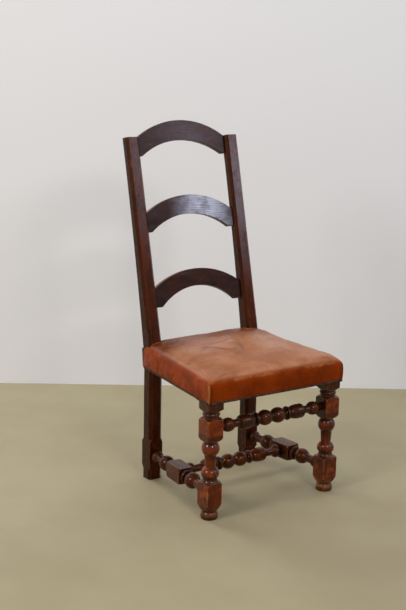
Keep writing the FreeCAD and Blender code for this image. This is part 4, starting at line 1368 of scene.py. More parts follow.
    def crown(self, rim: np.ndarray) -> np.ndarray:
        """Fill the inside of the topmost loop with a dome.

        Args:
            rim: the loop's points in plan.

        Returns:
            The heights above the lower edge and places in plan, by row and column.
        """
        across, deep = self.cells_across, self.cells_deep
        grid = np.zeros((deep + 1, across + 1, 3))
        front = rim[:across + 1]
        left = rim[across:across + deep + 1]
        rear = rim[across + deep:2 * across + deep + 1][::-1]
        right = np.vstack([rim[2 * across + deep:], rim[:1]])[::-1]
        u = np.linspace(0, 1, across + 1)[None, :, None]
        v = np.linspace(0, 1, deep + 1)[:, None, None]
        grid[..., :2] = ((1 - v) * front[None] + v * rear[None]
                         + (1 - u) * right[:, None] + u * left[:, None]
                         - (1 - u) * (1 - v) * front[0] - u * (1 - v) * front[-1]
                         - (1 - u) * v * rear[0] - u * v * rear[-1])
        off_u, off_v = np.abs(2 * u - 1), np.abs(2 * v - 1)
        square = (off_u ** self.crown_power + off_v ** self.crown_power)[..., 0]
        inward = 1 - np.minimum(np.maximum(off_u, off_v)[..., 0], 1)
        soft = np.maximum(1 - square ** (1 / self.crown_power), 0.0)
        share = soft * 0.75 + inward * 0.25
        ways, levels = np.array(CROWN_SHARES).T
        fine = np.linspace(0, 1, FINE_STEPS)
        curve = self.through(np.interp(np.linspace(0, 1, 11), ways, levels), fine * 10)
        grid[..., 2] = np.interp(share, fine, curve) * self.height
        return grid

    def shell(self) -> tuple[np.ndarray, list[list[int]], dict[str, np.ndarray]]:
        """Lay out the closed cover: outside, turned hem, inside and underside.

        Returns:
            Its points, its faces and the point numbers of its named parts.
        """
        rim = self.rim
        loops: list[np.ndarray] = []
        for up, at_front, at_rear, corner in self.profile():
            plan = self.loop(at_front * self.lesser_half, at_rear * self.lesser_half,
                             max(corner * self.depth / 2, self.least_corner))
            level = np.full(rim, up * self.height)
            loops.append(np.column_stack([plan, self.lift(plan[:, 1], level)]))
        inner = []
        edge_draw = SECTION_SHARES[0][1] * self.lesser_half
        for inset, level in INNER_LOOPS:
            plan = self.loop(self.cover * inset + edge_draw, self.cover * inset,
                             self.inner_corner)
            inner.append(np.column_stack([plan, self.lift(plan[:, 1], np.full(rim, level))]))
        inner[-1][:, 2] = self.hessian_top
        rows = inner[::-1] + loops
        points = list(rows)
        faces = ring_faces(len(rows), rim)
        total = len(rows) * rim
        for edge, base in ((rows[-1], (len(rows) - 1) * rim), (rows[0], 0)):
            underside = base == 0
            grid = self.crown(edge[:, :2])
            heights = self.lift(grid[..., 1], grid[..., 2])
            if underside:
                heights = np.full(grid.shape[:2], self.hessian_top)
            inside, panel = self.panel(grid[..., :2], heights, base, total)
            points.append(inside)
            total += len(inside)
            faces += [face[::-1] for face in panel] if underside else panel
        outside_start = len(inner) * rim
        crown_end = len(rows) * rim + len(points[len(rows)])
        parts = {"outside": np.arange(outside_start, crown_end),
                 "skirt": outside_start + np.arange(len(loops) * rim).reshape(len(loops), rim)}
        return np.vstack(points), faces, parts

    def panel(self, plan: np.ndarray, heights: np.ndarray, base: int,
              total: int) -> tuple[np.ndarray, list[list[int]]]:
        """Lay a grid of faces inside a loop.

        Args:
            plan: where each grid point lies, by row and column.
            heights: how high each is.
            base: the number of the loop's first point.
            total: how many points there are before the panel's own.

        Returns:
            The points inside the loop, and the faces.
        """
        across, deep = self.cells_across, self.cells_deep
        numbers = np.zeros((deep + 1, across + 1), int)
        inside = []
        for row in range(deep + 1):
            for column in range(across + 1):
                on_rim = self.rim_number(row, column)
                if on_rim >= 0:
                    numbers[row, column] = base + on_rim
                else:
                    numbers[row, column] = total + len(inside)
                    inside.append((*plan[row, column], heights[row, column]))
        faces = [[numbers[row, column], numbers[row, column + 1],
                  numbers[row + 1, column + 1], numbers[row + 1, column]]
                 for row in range(deep) for column in range(across)]
        return np.array(inside), faces

    def rim_number(self, row: int, column: int) -> int:
        """Find where a grid point lies along the rim.

        Args:
            row: the point's row, from the front.
            column: its column, from the right.

        Returns:
            The point's number along the rim, or -1 inside it.
        """
        across, deep = self.cells_across, self.cells_deep
        if row == 0:
            return column
        if column == across:
            return across + row
        if row == deep:
            return across + deep + (across - column)
        if column == 0:
            return 2 * across + deep + (deep - row)
        return -1

    def near_post(self, points: np.ndarray, margin: float) -> np.ndarray:
        """Which points lie within a margin of a post's section."""
        x, y = np.abs(points[:, 0]), points[:, 1]
        return ((x > self.posts.low.x - margin) & (x < self.posts.high.x + margin)
                & (y > self.posts.low.y - margin))

    def clear_of_legs(self, points: np.ndarray) -> np.ndarray:
        """Stretch the sides of the leather over the heads of the front legs.

        Args:
            points: the cover's points.

        Returns:
            The points, none of them in a leg's outer face.
        """
        x, y, z = points.T
        leg = self.leg_high
        outer = np.abs(x) > leg.x - self.head_clearance * 3
        beside = smoothstep(y, leg.y + 0.022, leg.y + 0.001)
        below = smoothstep(z, leg.z + 0.016, leg.z + 0.002)
        short = np.maximum(leg.x + self.head_clearance - np.abs(x), 0) * outer
        moved = points.copy()
        moved[:, 0] += np.sign(x) * short * beside * below
        return moved

    def swell(self, seat: bpy.types.Object, start: np.ndarray,
              parts: dict[str, np.ndarray]) -> None:
        """Let air pressure swell the leather as cloth, held at its hem and at the posts.

        Args:
            seat: the cover.
            start: its points before.
            parts: the numbers of its named parts.
        """
        held = np.ones(len(start), bool)
        held[parts["outside"]] = False
        held[parts["skirt"][:2].ravel()] = True
        held |= self.near_post(start, self.held_margin)
        pins = seat.vertex_groups.new(name="held")
        pins.add([int(i) for i in np.nonzero(held)[0]], 1.0, "REPLACE")
        cloth = seat.modifiers.new("leather", "CLOTH")
        for name, value in CLOTH_SETTINGS.items():
            setattr(cloth.settings, name, value)
        cloth.settings.vertex_group_mass = pins.name
        cloth.settings.effector_weights.gravity = 0.0
        cloth.collision_settings.use_collision = False
        scene = bpy.context.scene
        scene.frame_start, scene.frame_end = 1, self.swell_frames
        for frame in range(1, self.swell_frames + 1):
            scene.frame_set(frame)
        shown = seat.evaluated_get(bpy.context.evaluated_depsgraph_get())
        swollen = rows_of(shown.data.vertices)
        seat.modifiers.clear()
        scene.frame_set(1)
        outward = rows_of(seat.data.vertices, "normal")
        moved = swollen - start
        sunk = np.minimum((moved * outward).sum(axis=1, keepdims=True) + 0.0003, 0.0)
        moved -= outward * sunk
        length = np.linalg.norm(moved, axis=1, keepdims=True)
        allowed = self.swell_cap * np.tanh(length / self.swell_cap)
        settled = start + moved * allowed / np.maximum(length, 1e-9)
        set_points(seat.data, self.clear_of_legs(settled))
        log.info("leather swelled by up to %.1f mm", 1000 * float(allowed.max()))

    def survey(self, mesh: bpy.types.Mesh) -> Hide:
        """Say where each point of the leather lies.

        Args:
            mesh: the subdivided cover.

        Returns:
            The points with nothing done to them yet.
        """
        points, normals = rows_of(mesh.vertices), rows_of(mesh.vertices, "normal")
        x, y, z = points.T
        level = (z - self.bottom - self.slope * (y - self.front) / self.depth) / self.height
        top = smoothstep(normals[:, 2], 0.45, 0.9) * smoothstep(level, 0.7, 1.0)
        outside = normals[:, 2] > -0.4
        outside &= ((np.abs(x) > self.rail_face - 0.03) | (level > 0.85)
                    | (y < self.front + 0.012))
        to_post = np.hypot(np.maximum(self.posts.low.x - np.abs(x), 0),
                           np.maximum(self.posts.low.y - y, 0))
        marks = {name: np.zeros(len(points)) for name in LEATHER_MARKS}
        marks["top"] = top
        return Hide(points, normals, level, top, outside, to_post, np.zeros(len(points)), marks)

    def crease_top(self, hide: Hide) -> None:
        """Fold the top of the leather: a groove with painted shade, and a swelling with a painted
        highlight on one side.

        Args:
            hide: the leather.
        """
        for fold in self.creases:
            along, off = fold.along_and_off(hide.points)
            shape = bell(along, fold.length) * hide.top
            steep = fold.depth / fold.width * shape
            swelling = 0.8 * bell(off - fold.width, fold.width)
            hide.push += fold.depth * shape * (swelling - bell(off, fold.width * 0.7))
            # Painted shade in the groove and a painted highlight on the swelling
            hide.marks["crease"] += 1.8 * steep * bell(off, fold.width * 0.42)
            hide.marks["scuff"] += 0.9 * steep * bell(off - fold.width * 1.1, fold.width * 0.7)

    def pleat_corners(self, hide: Hide) -> None:
        """Fold the leather round the front corners, with painted shade in each fold.

        Args:
            hide: the leather.
        """
        x, y, _ = hide.points.T
        below_roll = smoothstep(hide.level, 0.86, 0.66)
        on_front = smoothstep(y, self.front + 0.022, self.front + 0.006) * hide.outside
        for side in Side:
            inward = side.value * x - (self.front_half - 0.001)
            pleat = bell(inward + self.pleat_reach, self.pleat_width) * on_front * below_roll
            ridge = bell(inward + self.pleat_reach * 0.45, self.pleat_width)
            ridge = ridge * on_front * below_roll
            second = bell(inward + self.pleat_reach * 2.1, self.pleat_width * 1.5) * on_front
            second = second * smoothstep(hide.level, 0.55, 0.25)
            hide.push += 0.0013 * ridge - 0.0018 * pleat - 0.0007 * second
            # Painted shade in the fold
            hide.marks["crease"] += 0.75 * pleat
            rubbed = bell(inward + self.pleat_reach * 0.30, self.pleat_width * 1.4)
            hide.marks["scuff"] += 0.95 * rubbed * on_front * below_roll

    @staticmethod
    def make_uneven(hide: Hide) -> None:
        """Give the leather's outside slow and quick unevenness.

        Args:
            hide: the leather.
        """
        for number in np.nonzero(hide.outside)[0]:
            point = Vector(hide.points[number])
            broad = noise.noise(point * 13.0)
            fine = noise.noise(point * 46.0 + Vector((7, 3, 1)))
            hide.push[number] += 0.0011 * broad * (0.35 + hide.top[number]) + 0.00035 * fine

    def wear(self, hide: Hide) -> None:
        """Mark where the leather is rubbed and dirty, and where sheen and shade are painted on it.

        Args:
            hide: the leather.
        """
        x, y, _ = hide.points.T
        level, top, marks = hide.level, hide.top, hide.marks
        streaks = np.array([noise.noise(Vector((px * 22, py * 22, pz * 90)))
                            for px, py, pz in hide.points])
        on_front = y < self.front + 0.04
        at_side = np.abs(x) > self.rear_half - 0.01
        roll = bell(level - 0.86, 0.075) * (on_front | at_side)
        front_roll = bell(level - 0.80, 0.10) * (y < self.front + 0.03)
        marks["scuff"] += roll * np.where(on_front, 0.44, 0.22) + 0.12 * front_roll
        sat_on = bell(x + 0.03, 0.17) * bell(y + 0.10, 0.13) * top
        marks["scuff"] += 0.35 * sat_on * smoothstep(streaks, -0.3, 0.5)
        marks["soil"] += 0.75 * bell(level - 0.02, 0.07)
        marks["soil"] += 0.5 * np.exp(-hide.to_post / 0.006) * top
        # Painted shade along the sides below the roll
        marks["crease"] += 0.175 * bell(level - 0.35, 0.22) * (top < 0.2)
        # Less of the top's painted sheen towards the back and left
        rich = smoothstep(y, -0.06, 0.07) + 0.3 * smoothstep(-x, 0.12, 0.22)
        marks["rich"] = rich * (1 - 0.4 * sat_on)
        # Patches of painted sheen on the top
        pale = 0.4 * bell(x + 0.09, 0.07) * bell(y + 0.05, 0.07)
        pale += 0.3 * bell(x - 0.15, 0.07) * bell(y + 0.1, 0.1)
        marks["pale"] = pale * top

    def work(self, seat: bpy.types.Object) -> None:
        """Put pleats, creases, hollows and marks into the subdivided leather.

        Args:
            seat: the cover.
        """
        hide = self.survey(seat.data)
        self.crease_top(hide)
        self.pleat_corners(hide)
        self.make_uneven(hide)
        x, y, _ = hide.points.T
        moved = hide.points + hide.normals * (hide.push * hide.outside)[:, None]
        moved[:, 2] -= self.sag * np.exp(-hide.to_post / 0.014) * hide.top
        rise = smoothstep(x, 0.02, 0.12) * smoothstep(y, -0.06, 0.05) * hide.top
        moved[:, 2] += self.rear_rise * rise
        moved[hide.outside] = self.clear_of_legs(moved[hide.outside])
        set_points(seat.data, moved)
        self.wear(hide)
        for name, values in hide.marks.items():
            mark(seat.data, name, values)

    def cut_round_post(self, seat: bpy.types.Object, side: Side) -> None:
        """Clear the leather round a post.

        Args:
            seat: the cover.
            side: which post.
        """
        points, faces = self.posts.bar(side, self.post_clearance, 0.02, self.bottom - 0.03,
                                       self.bottom + 0.2)
        cutter = new_piece("cutter_" + side.word, points, faces,
                           bpy.data.materials.new("cutter"), smooth=False)
        turned_outward(cutter)
        cut = seat.modifiers.new("round post", "BOOLEAN")
        cut.operation = "DIFFERENCE"
        cut.solver = "EXACT"
        cut.object = cutter
        baked(seat)
        bpy.data.objects.remove(cutter)

    def make(self) -> bpy.types.Object:
        """Build, swell, work and cut the leather.

        Returns:
            The finished cover.
        """
        points, faces, parts = self.shell()
        seat = new_piece("leather_seat", points, faces, LEATHER.make())
        self.swell(seat, points, parts)
        self.skirt = rows_of(seat.data.vertices)[parts["skirt"]]
        finer = seat.modifiers.new("finer", "SUBSURF")
        finer.levels = finer.render_levels = 1
        baked(seat)
        self.work(seat)
        self.surface = BVHTree.FromPolygons([v.co.copy() for v in seat.data.vertices],
                                            [tuple(p.vertices) for p in seat.data.polygons])
        for side in Side:
            self.cut_round_post(seat, side)
        seat.data.polygons.foreach_set("use_smooth", [True] * len(seat.data.polygons))
        seat.data.set_sharp_from_angle(angle=self.sharp_angle)
        return seat


@dataclass
class SeatTrim:
    """What edges the leather: a nailed band along its foot and hems round the posts."""

    cover: LeatherCover
    band_height: float = 0.0075
    band_thickness: float = 0.0011
    band_start: float = 0.0003
    nail_pitch: float = 0.0071
    nail_radius: float = 0.0031
    nail_height: float = 0.0017
    nail_sides: int = 10
    nail_seed: int = 11
    nail_scatter: float = 0.00025
    nail_rise: float = 0.0003
    nail_tilt: float = 0.05
    nail_spread: float = 0.03
    hem_radius: float = 0.0015
    hem_clearance: float = 0.0011
    hem_outer_clearance: float = 0.0009
    hem_end: float = 0.002
    hem_lift: float = 0.0002
    hem_steps: int = 16

    def edge_run(self, up: float, clear: float) -> list[list[Vector]]:
        """Lines round the lower edge, outside the posts and between them.

        Args:
            up: how far above the lower edge.
            clear: how far outside the leather.

        Returns:
            The long run round the front and the short one at the back.
        """
        skirt, rim = self.cover.skirt, self.cover.rim
        steps = np.linalg.norm(skirt[1:] - skirt[:-1], axis=2).mean(axis=1)
        levels = np.concatenate([[0], np.cumsum(steps)])
        row = int(np.searchsorted(levels, up, "right")) - 1
        share = (up - levels[row]) / (levels[row + 1] - levels[row])
        line = skirt[row] * (1 - share) + skirt[row + 1] * share
        centre = line.mean(axis=0)
        out = []
        for number in range(rim):
            tangent = line[(number + 1) % rim] - line[number - 1]
            normal = np.array([tangent[1], -tangent[0], 0.0])
            normal /= np.linalg.norm(normal)
            if normal @ (line[number] - centre) < 0:
                normal = -normal
            out.append(Vector(line[number] + normal * clear))
        across, deep = self.cover.cells_across, self.cover.cells_deep
        rear_corner = 2 * across + deep
        long_run = out[rear_corner + 2:] + out[:across + deep - 1]
        back = [point for point in out[across + deep:rear_corner + 1]
                if abs(point.x) < self.cover.posts.low.x - 0.0006]
        return [long_run, back]

    def make_band(self) -> bpy.types.Object:
        """Lay the dark strip of leather that the nails go through.

        Returns:
            The strip, in two runs.
        """
        face, edge = self.band_thickness, self.band_thickness * 0.8
        section = ((self.band_start, 0.0), (self.band_start, edge), (self.band_height * 0.5, face),
                   (self.band_height, edge), (self.band_height, 0.0))
        vertices, faces = [], []
        for run in range(2):
            rails = [self.edge_run(up, clear)[run] for up, clear in section]
            faces += ring_faces(len(rails[0]), len(rails), len(vertices), inside_out=True,
                                ends=True)
            for points in zip(*rails):
                vertices += points
        band = new_piece("nailed_band", vertices, faces, BAND_LEATHER.make(), smooth=False)
        turned_outward(band)
        return band

    def nail_head(self) -> tuple[list[Vector], list[list[int]]]:
        """Shape one domed head, standing on the plane z = 0.

        Returns:
            Its points and faces.
        """
        sides = self.nail_sides
        points = [Vector((self.nail_radius * out * math.cos(math.tau * n / sides),
                          self.nail_radius * out * math.sin(math.tau * n / sides),
                          self.nail_height * up)) for out, up in NAIL_RINGS for n in range(sides)]
        points.append(Vector((0, 0, self.nail_height)))
        faces = ring_faces(len(NAIL_RINGS), sides)
        last = (len(NAIL_RINGS) - 1) * sides
        faces += [[last + n, last + (n + 1) % sides, len(points) - 1] for n in range(sides)]
        faces.append(list(range(sides))[::-1])
        return points, faces

    def make_nails(self) -> bpy.types.Object:
        """Drive a close row of nails along the band, none quite like the next.

        Returns:
            All the nails.
        """
        head, head_faces = self.nail_head()
        random = np.random.default_rng(self.nail_seed)
        middle = Vector((0, (self.cover.front + self.cover.rear) / 2, 0))
        vertices: list[Vector] = []
        faces: list[list[int]] = []
        for run in self.edge_run(self.band_height * 0.5, self.band_thickness * 0.7):
            table = np.array([tuple(point) for point in run])
            lengths = np.concatenate([[0], np.cumsum([(b - a).length
                                                      for a, b in zip(run, run[1:])])])
            count = int(lengths[-1] // self.nail_pitch)
            for number in range(count):
                gone = (number + 0.5) * lengths[-1] / count
                gone += random.normal(0, self.nail_scatter)
                spots = [[np.interp(gone + shift, lengths, column) for column in table.T]
                         for shift in (0.0, -0.002, 0.002)]
                place = Vector(spots[0])
                ahead = np.subtract(spots[2], spots[1])
                out = Vector((ahead[1], -ahead[0], 0.0))
                if out.dot(place - middle) < 0:
                    out = -out
                out += Vector(random.normal(0, self.nail_tilt, 3)) * out.length
                turn = out.to_track_quat("Z", "Y").to_matrix()
                size = 1 + random.normal(0, self.nail_spread)
                place.z += random.normal(0, self.nail_rise)
                base = len(vertices)
                vertices += [place + turn @ (point * size) for point in head]
                faces += [[base + i for i in face] for face in head_faces]
        log.info("%d nails", len(vertices) // len(head))
        return new_piece("seat_nails", vertices, faces, NAIL_BRASS.make())

    def hem_line(self, side: Side) -> list[Vector]:
        """Follow the cut edge of the leather round a post.

        Args:
            side: which post.

        Returns:
            Points on the leather along the edge.
        """
        cover, posts = self.cover, self.cover.posts
        x0, x1 = posts.low.x - self.hem_clearance, posts.high.x + self.hem_outer_clearance
        y0, y1 = posts.low.y - self.hem_clearance, cover.rear - self.hem_end
        line: list[Vector] = []
        for start, end in (((x0, y1), (x0, y0)), ((x0, y0), (x1, y0)), ((x1, y0), (x1, y1))):
            for step in range(self.hem_steps):
                share = step / self.hem_steps
                x = start[0] + (end[0] - start[0]) * share
                y = start[1] + (end[1] - start[1]) * share
                above = Vector((side.value * x, y, cover.bottom + 0.2))
                hit = cover.surface.ray_cast(above, Vector((0, 0, -1)))[0]
                if hit is not None:
                    along_front = start[1] == end[1]
                    lean = max(hit.z - posts.kink, 0.0) * posts.rake if along_front else 0.0
                    line.append(hit + Vector((0, lean, self.hem_lift)))
        return line

    def make_hem(self, side: Side) -> bpy.types.Object:
        """Turn the edge of the leather where it is cut round a post.

        Args:
            side: which post.

        Returns:
            The rolled edge.
        """
        line = self.hem_line(side)
        curve = bpy.data.curves.new("hem", "CURVE")
        curve.dimensions = "3D"
        curve.bevel_depth = self.hem_radius
        curve.bevel_resolution = 3
        curve.use_fill_caps = True
        spline = curve.splines.new("POLY")
        spline.points.add(len(line) - 1)
        for number, point in enumerate(line):
            smoothed = line[max(number - 1, 0)] + point * 2 + line[min(number + 1, len(line) - 1)]
            spline.points[number].co = (*(smoothed / 4), 1.0)
        roll = bpy.data.objects.new("hem_curve", curve)
        bpy.context.scene.collection.objects.link(roll)
        graph = bpy.context.evaluated_depsgraph_get()
        mesh = bpy.data.meshes.new_from_object(roll.evaluated_get(graph))
        bpy.data.objects.remove(roll)
        mesh.materials.clear()
        mesh.materials.append(HEM_LEATHER.make())
        for name, value in (("top", 0.4), ("scuff", 0.35), ("crease", 0.1), ("soil", 0.1)):
            mark(mesh, name, np.full(len(mesh.vertices), value))
        mesh.polygons.foreach_set("use_smooth", [True] * len(mesh.polygons))
        hem = bpy.data.objects.new("leather_hem_" + side.word, mesh)
        bpy.context.scene.collection.objects.link(hem)
        return hem


@dataclass
class SeatBottom:
    """What holds the stuffing up: woven straps and a sheet of hessian."""

    lengthwise: tuple[Vector, Vector]
    crosswise: tuple[Vector, Vector]
    cloth: tuple[Vector, Vector]
    post_low: Vector
    straps: int = 4
    width: float = 0.052
    thickness: float = 0.0016
    weave_height: float = 0.0018
    taper: float = 0.0062
    cells: int = 96
    cloth_cells: tuple[int, int] = (72, 60)
    cloth_thickness: float = 0.0009
    cloth_lift: float = 0.0007
    cloth_wave: float = 0.00035
    post_reach: float = 0.034

    def strap(self, start: Vector, end: Vector, phase: int, crossings: list[float],
              wide: Vector) -> tuple[list[Vector], list[list[int]]]:
        """Weave one strap, which dives under and over what it crosses.

        Args:
            start: the middle of its first end.
            end: the middle of its last end.
            phase: 0 if it starts over, 1 if it starts under.
            crossings: how far along each crossing is.
            wide: half its width, as a vector.

        Returns:
            Its points and faces.
        """
        shares = (-1.0, -0.96, 0.0, 0.96, 1.0)
        half = Vector((0, 0, self.thickness / 2))
        points: list[Vector] = []
        run = (end - start).length
        for step in range(self.cells + 1):
            gone = run * step / self.cells
            lift = 0.0
            for number, place in enumerate(crossings):
                way = 1 if (number + phase) % 2 == 0 else -1
                reach = (gone - place) / (self.width * 0.42)
                lift += way * self.weave_height / 2 * math.exp(-reach ** 4)
            middle = start + (end - start) * (step / self.cells) + Vector((0, 0, lift))
            points += [middle + wide * share + half for share in shares]
            points += [middle + wide * share - half for share in shares[::-1]]
        return points, ring_faces(self.cells + 1, 2 * len(shares), ends=True)

    def make_layer(self, along: bool) -> bpy.types.Object:
        """Lay all the straps that run one way.

        Args:
            along: from front to back, or else from side to side.

        Returns:
            The straps.
        """
        low, high = self.lengthwise if along else self.crosswise
        other_low, other_high = self.crosswise if along else self.lengthwise
        axis, cross = (0, 1) if along else (1, 0)
        half = self.width / 2
        spread = (high[axis] - low[axis] - self.width) / (self.straps - 1)
        step = (other_high[cross] - other_low[cross] - self.width) / (self.straps - 1)
        middle_height = (self.lengthwise[0].z + self.crosswise[1].z) / 2
        wide = Vector((half, 0, 0)) if along else Vector((0, half, 0))
        vertices: list[Vector] = []
        faces: list[list[int]] = []
        for number in range(self.straps):
            place = low[axis] + half + number * spread
            taper = 0.0 if along else number * self.taper
            reach = (low[cross] + taper, high[cross] - taper)
            ends = [Vector((place, way, middle_height)) if along
                    else Vector((way, place, middle_height)) for way in reach]
            first = other_low[cross] + half - reach[0]
            crossings = [first + step * at for at in range(self.straps)]
            phase = (number + (0 if along else 1)) % 2
            points, quads = self.strap(*ends, phase, crossings, wide)
            base = len(vertices)
            vertices += points
            faces += [[base + i for i in quad] for quad in quads]
        name = "webbing_front_to_back" if along else "webbing_side_to_side"
        return new_piece(name, vertices, faces, WEBBING.make())

    def make_hessian(self) -> tuple[bpy.types.Object, float]:
        """Stretch the hessian over the straps, notched at the posts.

        Returns:
            The sheet and its flat area.
        """
        low, high = self.cloth
        columns, rows = self.cloth_cells
        rear_share = (self.post_low.x + self.post_reach) / high.x
        around = ((0, 0), (0, 1), (1, 1), (1, 0))
        numbers: dict[tuple[int, int], int] = {}
        vertices: list[tuple[float, float, float]] = []
        faces: list[list[int]] = []
        area = 0.0
        for row in range(rows):
            for column in range(columns):
                corners = {}
                for down, right in around:
                    v, u = (row + down) / rows, 2 * (column + right) / columns - 1
                    half = high.x * (1 + (rear_share - 1) * v)
                    corners[row + down, column + right] = (u * half, low.y + (high.y - low.y) * v)
                if any(abs(x) > self.post_low.x - 0.001 and y > self.post_low.y - 0.001
                       for x, y in corners.values()):
                    continue
                for key, (x, y) in corners.items():
                    if key not in numbers:
                        numbers[key] = len(vertices)
                        wave = self.cloth_wave * math.sin(x * 92) * math.cos(y * 81)
                        vertices.append((x, y, low.z + self.cloth_lift + wave))
                faces.append([numbers[key] for key in corners])
                (x0, y0), (x1, _), (x2, _), (x3, y3) = corners.values()
                area += (x1 - x0 + x2 - x3) / 2 * (y3 - y0)
        sheet = new_piece("hessian_sheet", vertices, faces, HESSIAN.make(math.radians(2)))
        thick = sheet.modifiers.new("thread", "SOLIDIFY")
        thick.thickness = self.cloth_thickness
        thick.offset = 0
        baked(sheet)
        return sheet, area


@dataclass(frozen=True)
class Lamp:
    """A square soft lamp: where it hangs, how wide it is, its watts and its colour."""

    name: str
    place: tuple[float, float, float]
    size: float
    power: float
    color: str = "ffffff"


LAMPS = (
    Lamp("window", (2.45, -2.9, 2.5), 1.1, 23, "e0e4ff"),
    Lamp("room", (-4.2, -0.5, 2.8), 1.3, 108, "fff8f0"),
    Lamp("doorway", (-0.7, -4.3, 2.9), 1.05, 75, "fff6ec"),
    Lamp("ceiling", (0.2, 0.6, 3.4), 2.4, 24),
    Lamp("rear", (-1.2, 4.6, 3.0), 2.2, 110),
    Lamp("far side", (4.4, 1.2, 2.4), 2.0, 32, "fbfcff"),
)


@dataclass
class Studio:
    """The floor, backdrop, lamps and camera."""

    camera_place: tuple[float, float, float] = (-2.10812, -2.96541, 1.38616)
    azimuth: float = -0.5989
    elevation: float = 0.2143
    roll: float = 0.01987
    lens: float = 67.0
    wall_start: tuple[float, float] = (-0.1535, 1.4006)
    wall_end: tuple[float, float] = (1.2733, 0.4611)
    wall_reach: float = 4.5
    wall_height: float = 4.0
    floor_reach: float = 4.6
    lit_height: float = 0.6
    sky_light: float = 0.3
    sky_shown: float = 0.42

    def make_camera(self) -> None:
        """Stand the camera where the photograph was taken from."""
        level = math.cos(self.elevation)
        back = Vector((math.sin(self.azimuth) * level, -math.cos(self.azimuth) * level,
                       math.sin(self.elevation)))
        across = Vector((0, 0, 1)).cross(back).normalized()
        up = back.cross(across)
        right = across * math.cos(self.roll) + up * math.sin(self.roll)
        top = up * math.cos(self.roll) - across * math.sin(self.roll)
        data = bpy.data.cameras.new("photograph")
        data.lens, data.sensor_width = self.lens, 36.0
        data.clip_start, data.clip_end = 0.1, 60.0
        camera = bpy.data.objects.new("photograph", data)
        turn = Matrix((right, top, back)).transposed().to_4x4()
        camera.matrix_world = Matrix.Translation(self.camera_place) @ turn
        bpy.context.scene.collection.objects.link(camera)
        bpy.context.scene.camera = camera

    def one_sided(self, weave: Weave, shader: bpy.types.Node, shown: Value = 1.0) -> None:
        """Clear a stage surface from behind, and where it fades out.

        Args:
            weave: the material's tree.
            shader: its surface.
            shown: how much of it shows, from 0 to 1.
        """
        front = weave.minus(1.0, weave.add("NewGeometry").outputs["Backfacing"])
        clear = weave.add("BsdfTransparent").outputs[0]
        both = weave.add("MixShader", {0: weave.times(front, shown), 1: clear,
                                       2: shader.outputs[0]})
        output = next(node for node in weave.tree.nodes if node.type == "OUTPUT_MATERIAL")
        weave.feed(output, {"Surface": both.outputs[0]})

    def make_floor(self) -> None:
        """A pale, almost plain floor that fades out far from the chair."""
        material, weave, shader = new_material("pale floor")
        place = weave.place()
        cloud = weave.span(weave.speckle(place, 1.6, 5.0, 0.6), 0.25, 0.75)
        weave.feed(shader, {"Base Color": weave.mix(cloud, srgb("958b6e"), srgb("a1987b")),
                            "Roughness": 0.6, "Specular IOR Level": 0.25})
        away = weave.add("VectorMath", {0: place}, operation="LENGTH").outputs["Value"]
        reach = self.floor_reach
        self.one_sided(weave, shader, weave.span(away, reach, reach * 0.6))
        corners = [(-reach, -reach, 0), (reach, -reach, 0), (reach, reach, 0), (-reach, reach, 0)]
        new_piece("floor", corners, [(0, 1, 2, 3)], material, smooth=False)

    def make_wall(self) -> None:
        """A pale wall behind the chair that shows from its front only."""
        material, weave, shader = new_material("pale wall")
        weave.feed(shader, {"Base Color": srgb("e8eaf0"), "Roughness": 0.9})
        self.one_sided(weave, shader)
        start, end = Vector(self.wall_start), Vector(self.wall_end)
        reach = (end - start).normalized() * self.wall_reach
        a, b = (start + end) / 2 - reach, (start + end) / 2 + reach
        corners = [(a.x, a.y, 0), (b.x, b.y, 0), (b.x, b.y, self.wall_height),
                   (a.x, a.y, self.wall_height)]
        wall = new_piece("backdrop", corners, [(0, 1, 2, 3)], material, smooth=False)
        wall.visible_shadow = False

    def hang(self, lamp: Lamp) -> None:
        """Hang a lamp that looks at the chair.

        Args:
            lamp: which lamp.
        """
        data = bpy.data.lights.new(lamp.name, "AREA")
        data.size = lamp.size
        data.energy = lamp.power
        data.color = srgb(lamp.color)[:3]
        shown = bpy.data.objects.new(lamp.name, data)
        shown.location = lamp.place
        sight = Vector((0, 0, self.lit_height)) - Vector(lamp.place)
        shown.rotation_euler = sight.to_track_quat("-Z", "Y").to_euler()
        bpy.context.scene.collection.objects.link(shown)

    def make_sky(self) -> None:
        """An even sky, brighter where it is seen than where it only lights the chair."""
        world = bpy.data.worlds.new("sky")
        world.use_nodes = True
        weave = Weave(world.node_tree)
        path = weave.add("LightPath").outputs
        seen = weave.more(path["Is Camera Ray"], path["Is Glossy Ray"])
        seen = weave.more(seen, path["Is Transmission Ray"])
        strength = weave.plus(weave.times(seen, self.sky_shown), self.sky_light)
        weave.feed(world.node_tree.nodes["Background"],
                   {"Color": srgb("e6e8ec"), "Strength": strength})
        bpy.context.scene.world = world

    def build(self) -> None:
        """Set up the whole studio."""
        self.make_camera()
        self.make_floor()
        self.make_wall()
        for lamp in LAMPS:
            self.hang(lamp)
        self.make_sky()
        bpy.context.scene.view_settings.view_transform = "Standard"


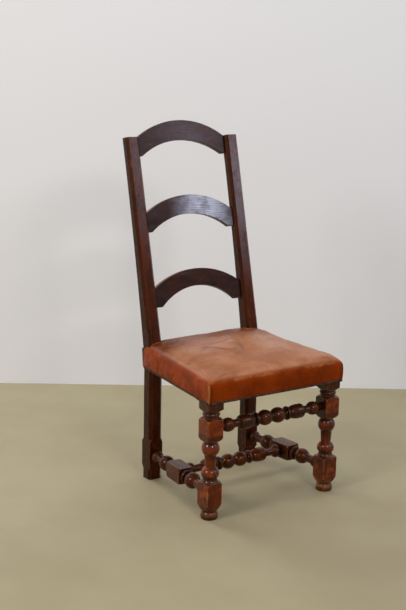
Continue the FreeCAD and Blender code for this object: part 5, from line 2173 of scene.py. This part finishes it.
def ride(piece: bpy.types.Object, slot: str, *nodes: str) -> None:
    """Fix a piece to the chair and hide the CAD nodes that it stands for.

    Args:
        piece: the piece.
        slot: the record's slot for its finish; not used.
        nodes: the CAD nodes that it replaces.
    """
    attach(piece, BODY)
    if nodes:
        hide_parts(*nodes)
    log.info("placed %s", piece.name)


def measured_posts(post: bpy.types.Object) -> Posts:
    """Measure the rear posts where they pass the seat.

    Args:
        post: the left one.

    Returns:
        Their section below the seat, and their lean above it.
    """
    feet = [v.co for v in post.data.vertices if v.co.z < 0.3]
    low, high = (Vector([pick(co[axis] for co in feet) for axis in range(3)])
                 for pick in (min, max))
    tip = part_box("rear_post_left")[1]
    return Posts(low, high, POST_KINK, (tip.y - high.y) / (tip.z - POST_KINK))


def build_seat(nodes: dict[str, bpy.types.Object]) -> None:
    """Build everything of the seat that isn't wood.

    Args:
        nodes: the CAD nodes.
    """
    low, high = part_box("seat_leather")
    posts = measured_posts(nodes["rear_post_left"])
    cover = LeatherCover(low, high, posts, leg_high=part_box("front_leg_left")[1],
                         hessian_top=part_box("hessian")[1].z + 0.0004,
                         rail_face=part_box("seat_rail_left")[1].x)
    seat = cover.make()
    ride(seat, "seat_leather", "seat_leather", "seat_stuffing", "side_wadding")
    trim = SeatTrim(cover)
    ride(trim.make_band(), "trim", "trim_band")
    ride(trim.make_nails(), "trim")
    for side in Side:
        ride(trim.make_hem(side), "seat_leather")
    bottom = SeatBottom(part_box("webbing_lengthwise"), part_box("webbing_crosswise"),
                        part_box("hessian"), posts.low)
    ride(bottom.make_layer(along=True), "webbing", "webbing_lengthwise")
    ride(bottom.make_layer(along=False), "webbing", "webbing_crosswise")
    sheet, area = bottom.make_hessian()
    ride(sheet, "hessian", "hessian")


def main() -> None:
    """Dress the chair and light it."""
    logging.basicConfig(level=logging.INFO, format="%(name)s: %(message)s")
    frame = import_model()
    Joinery(frame["nodes"]).dress()
    build_seat(frame["nodes"])
    Studio().build()


if __name__ == "__main__":
    main()
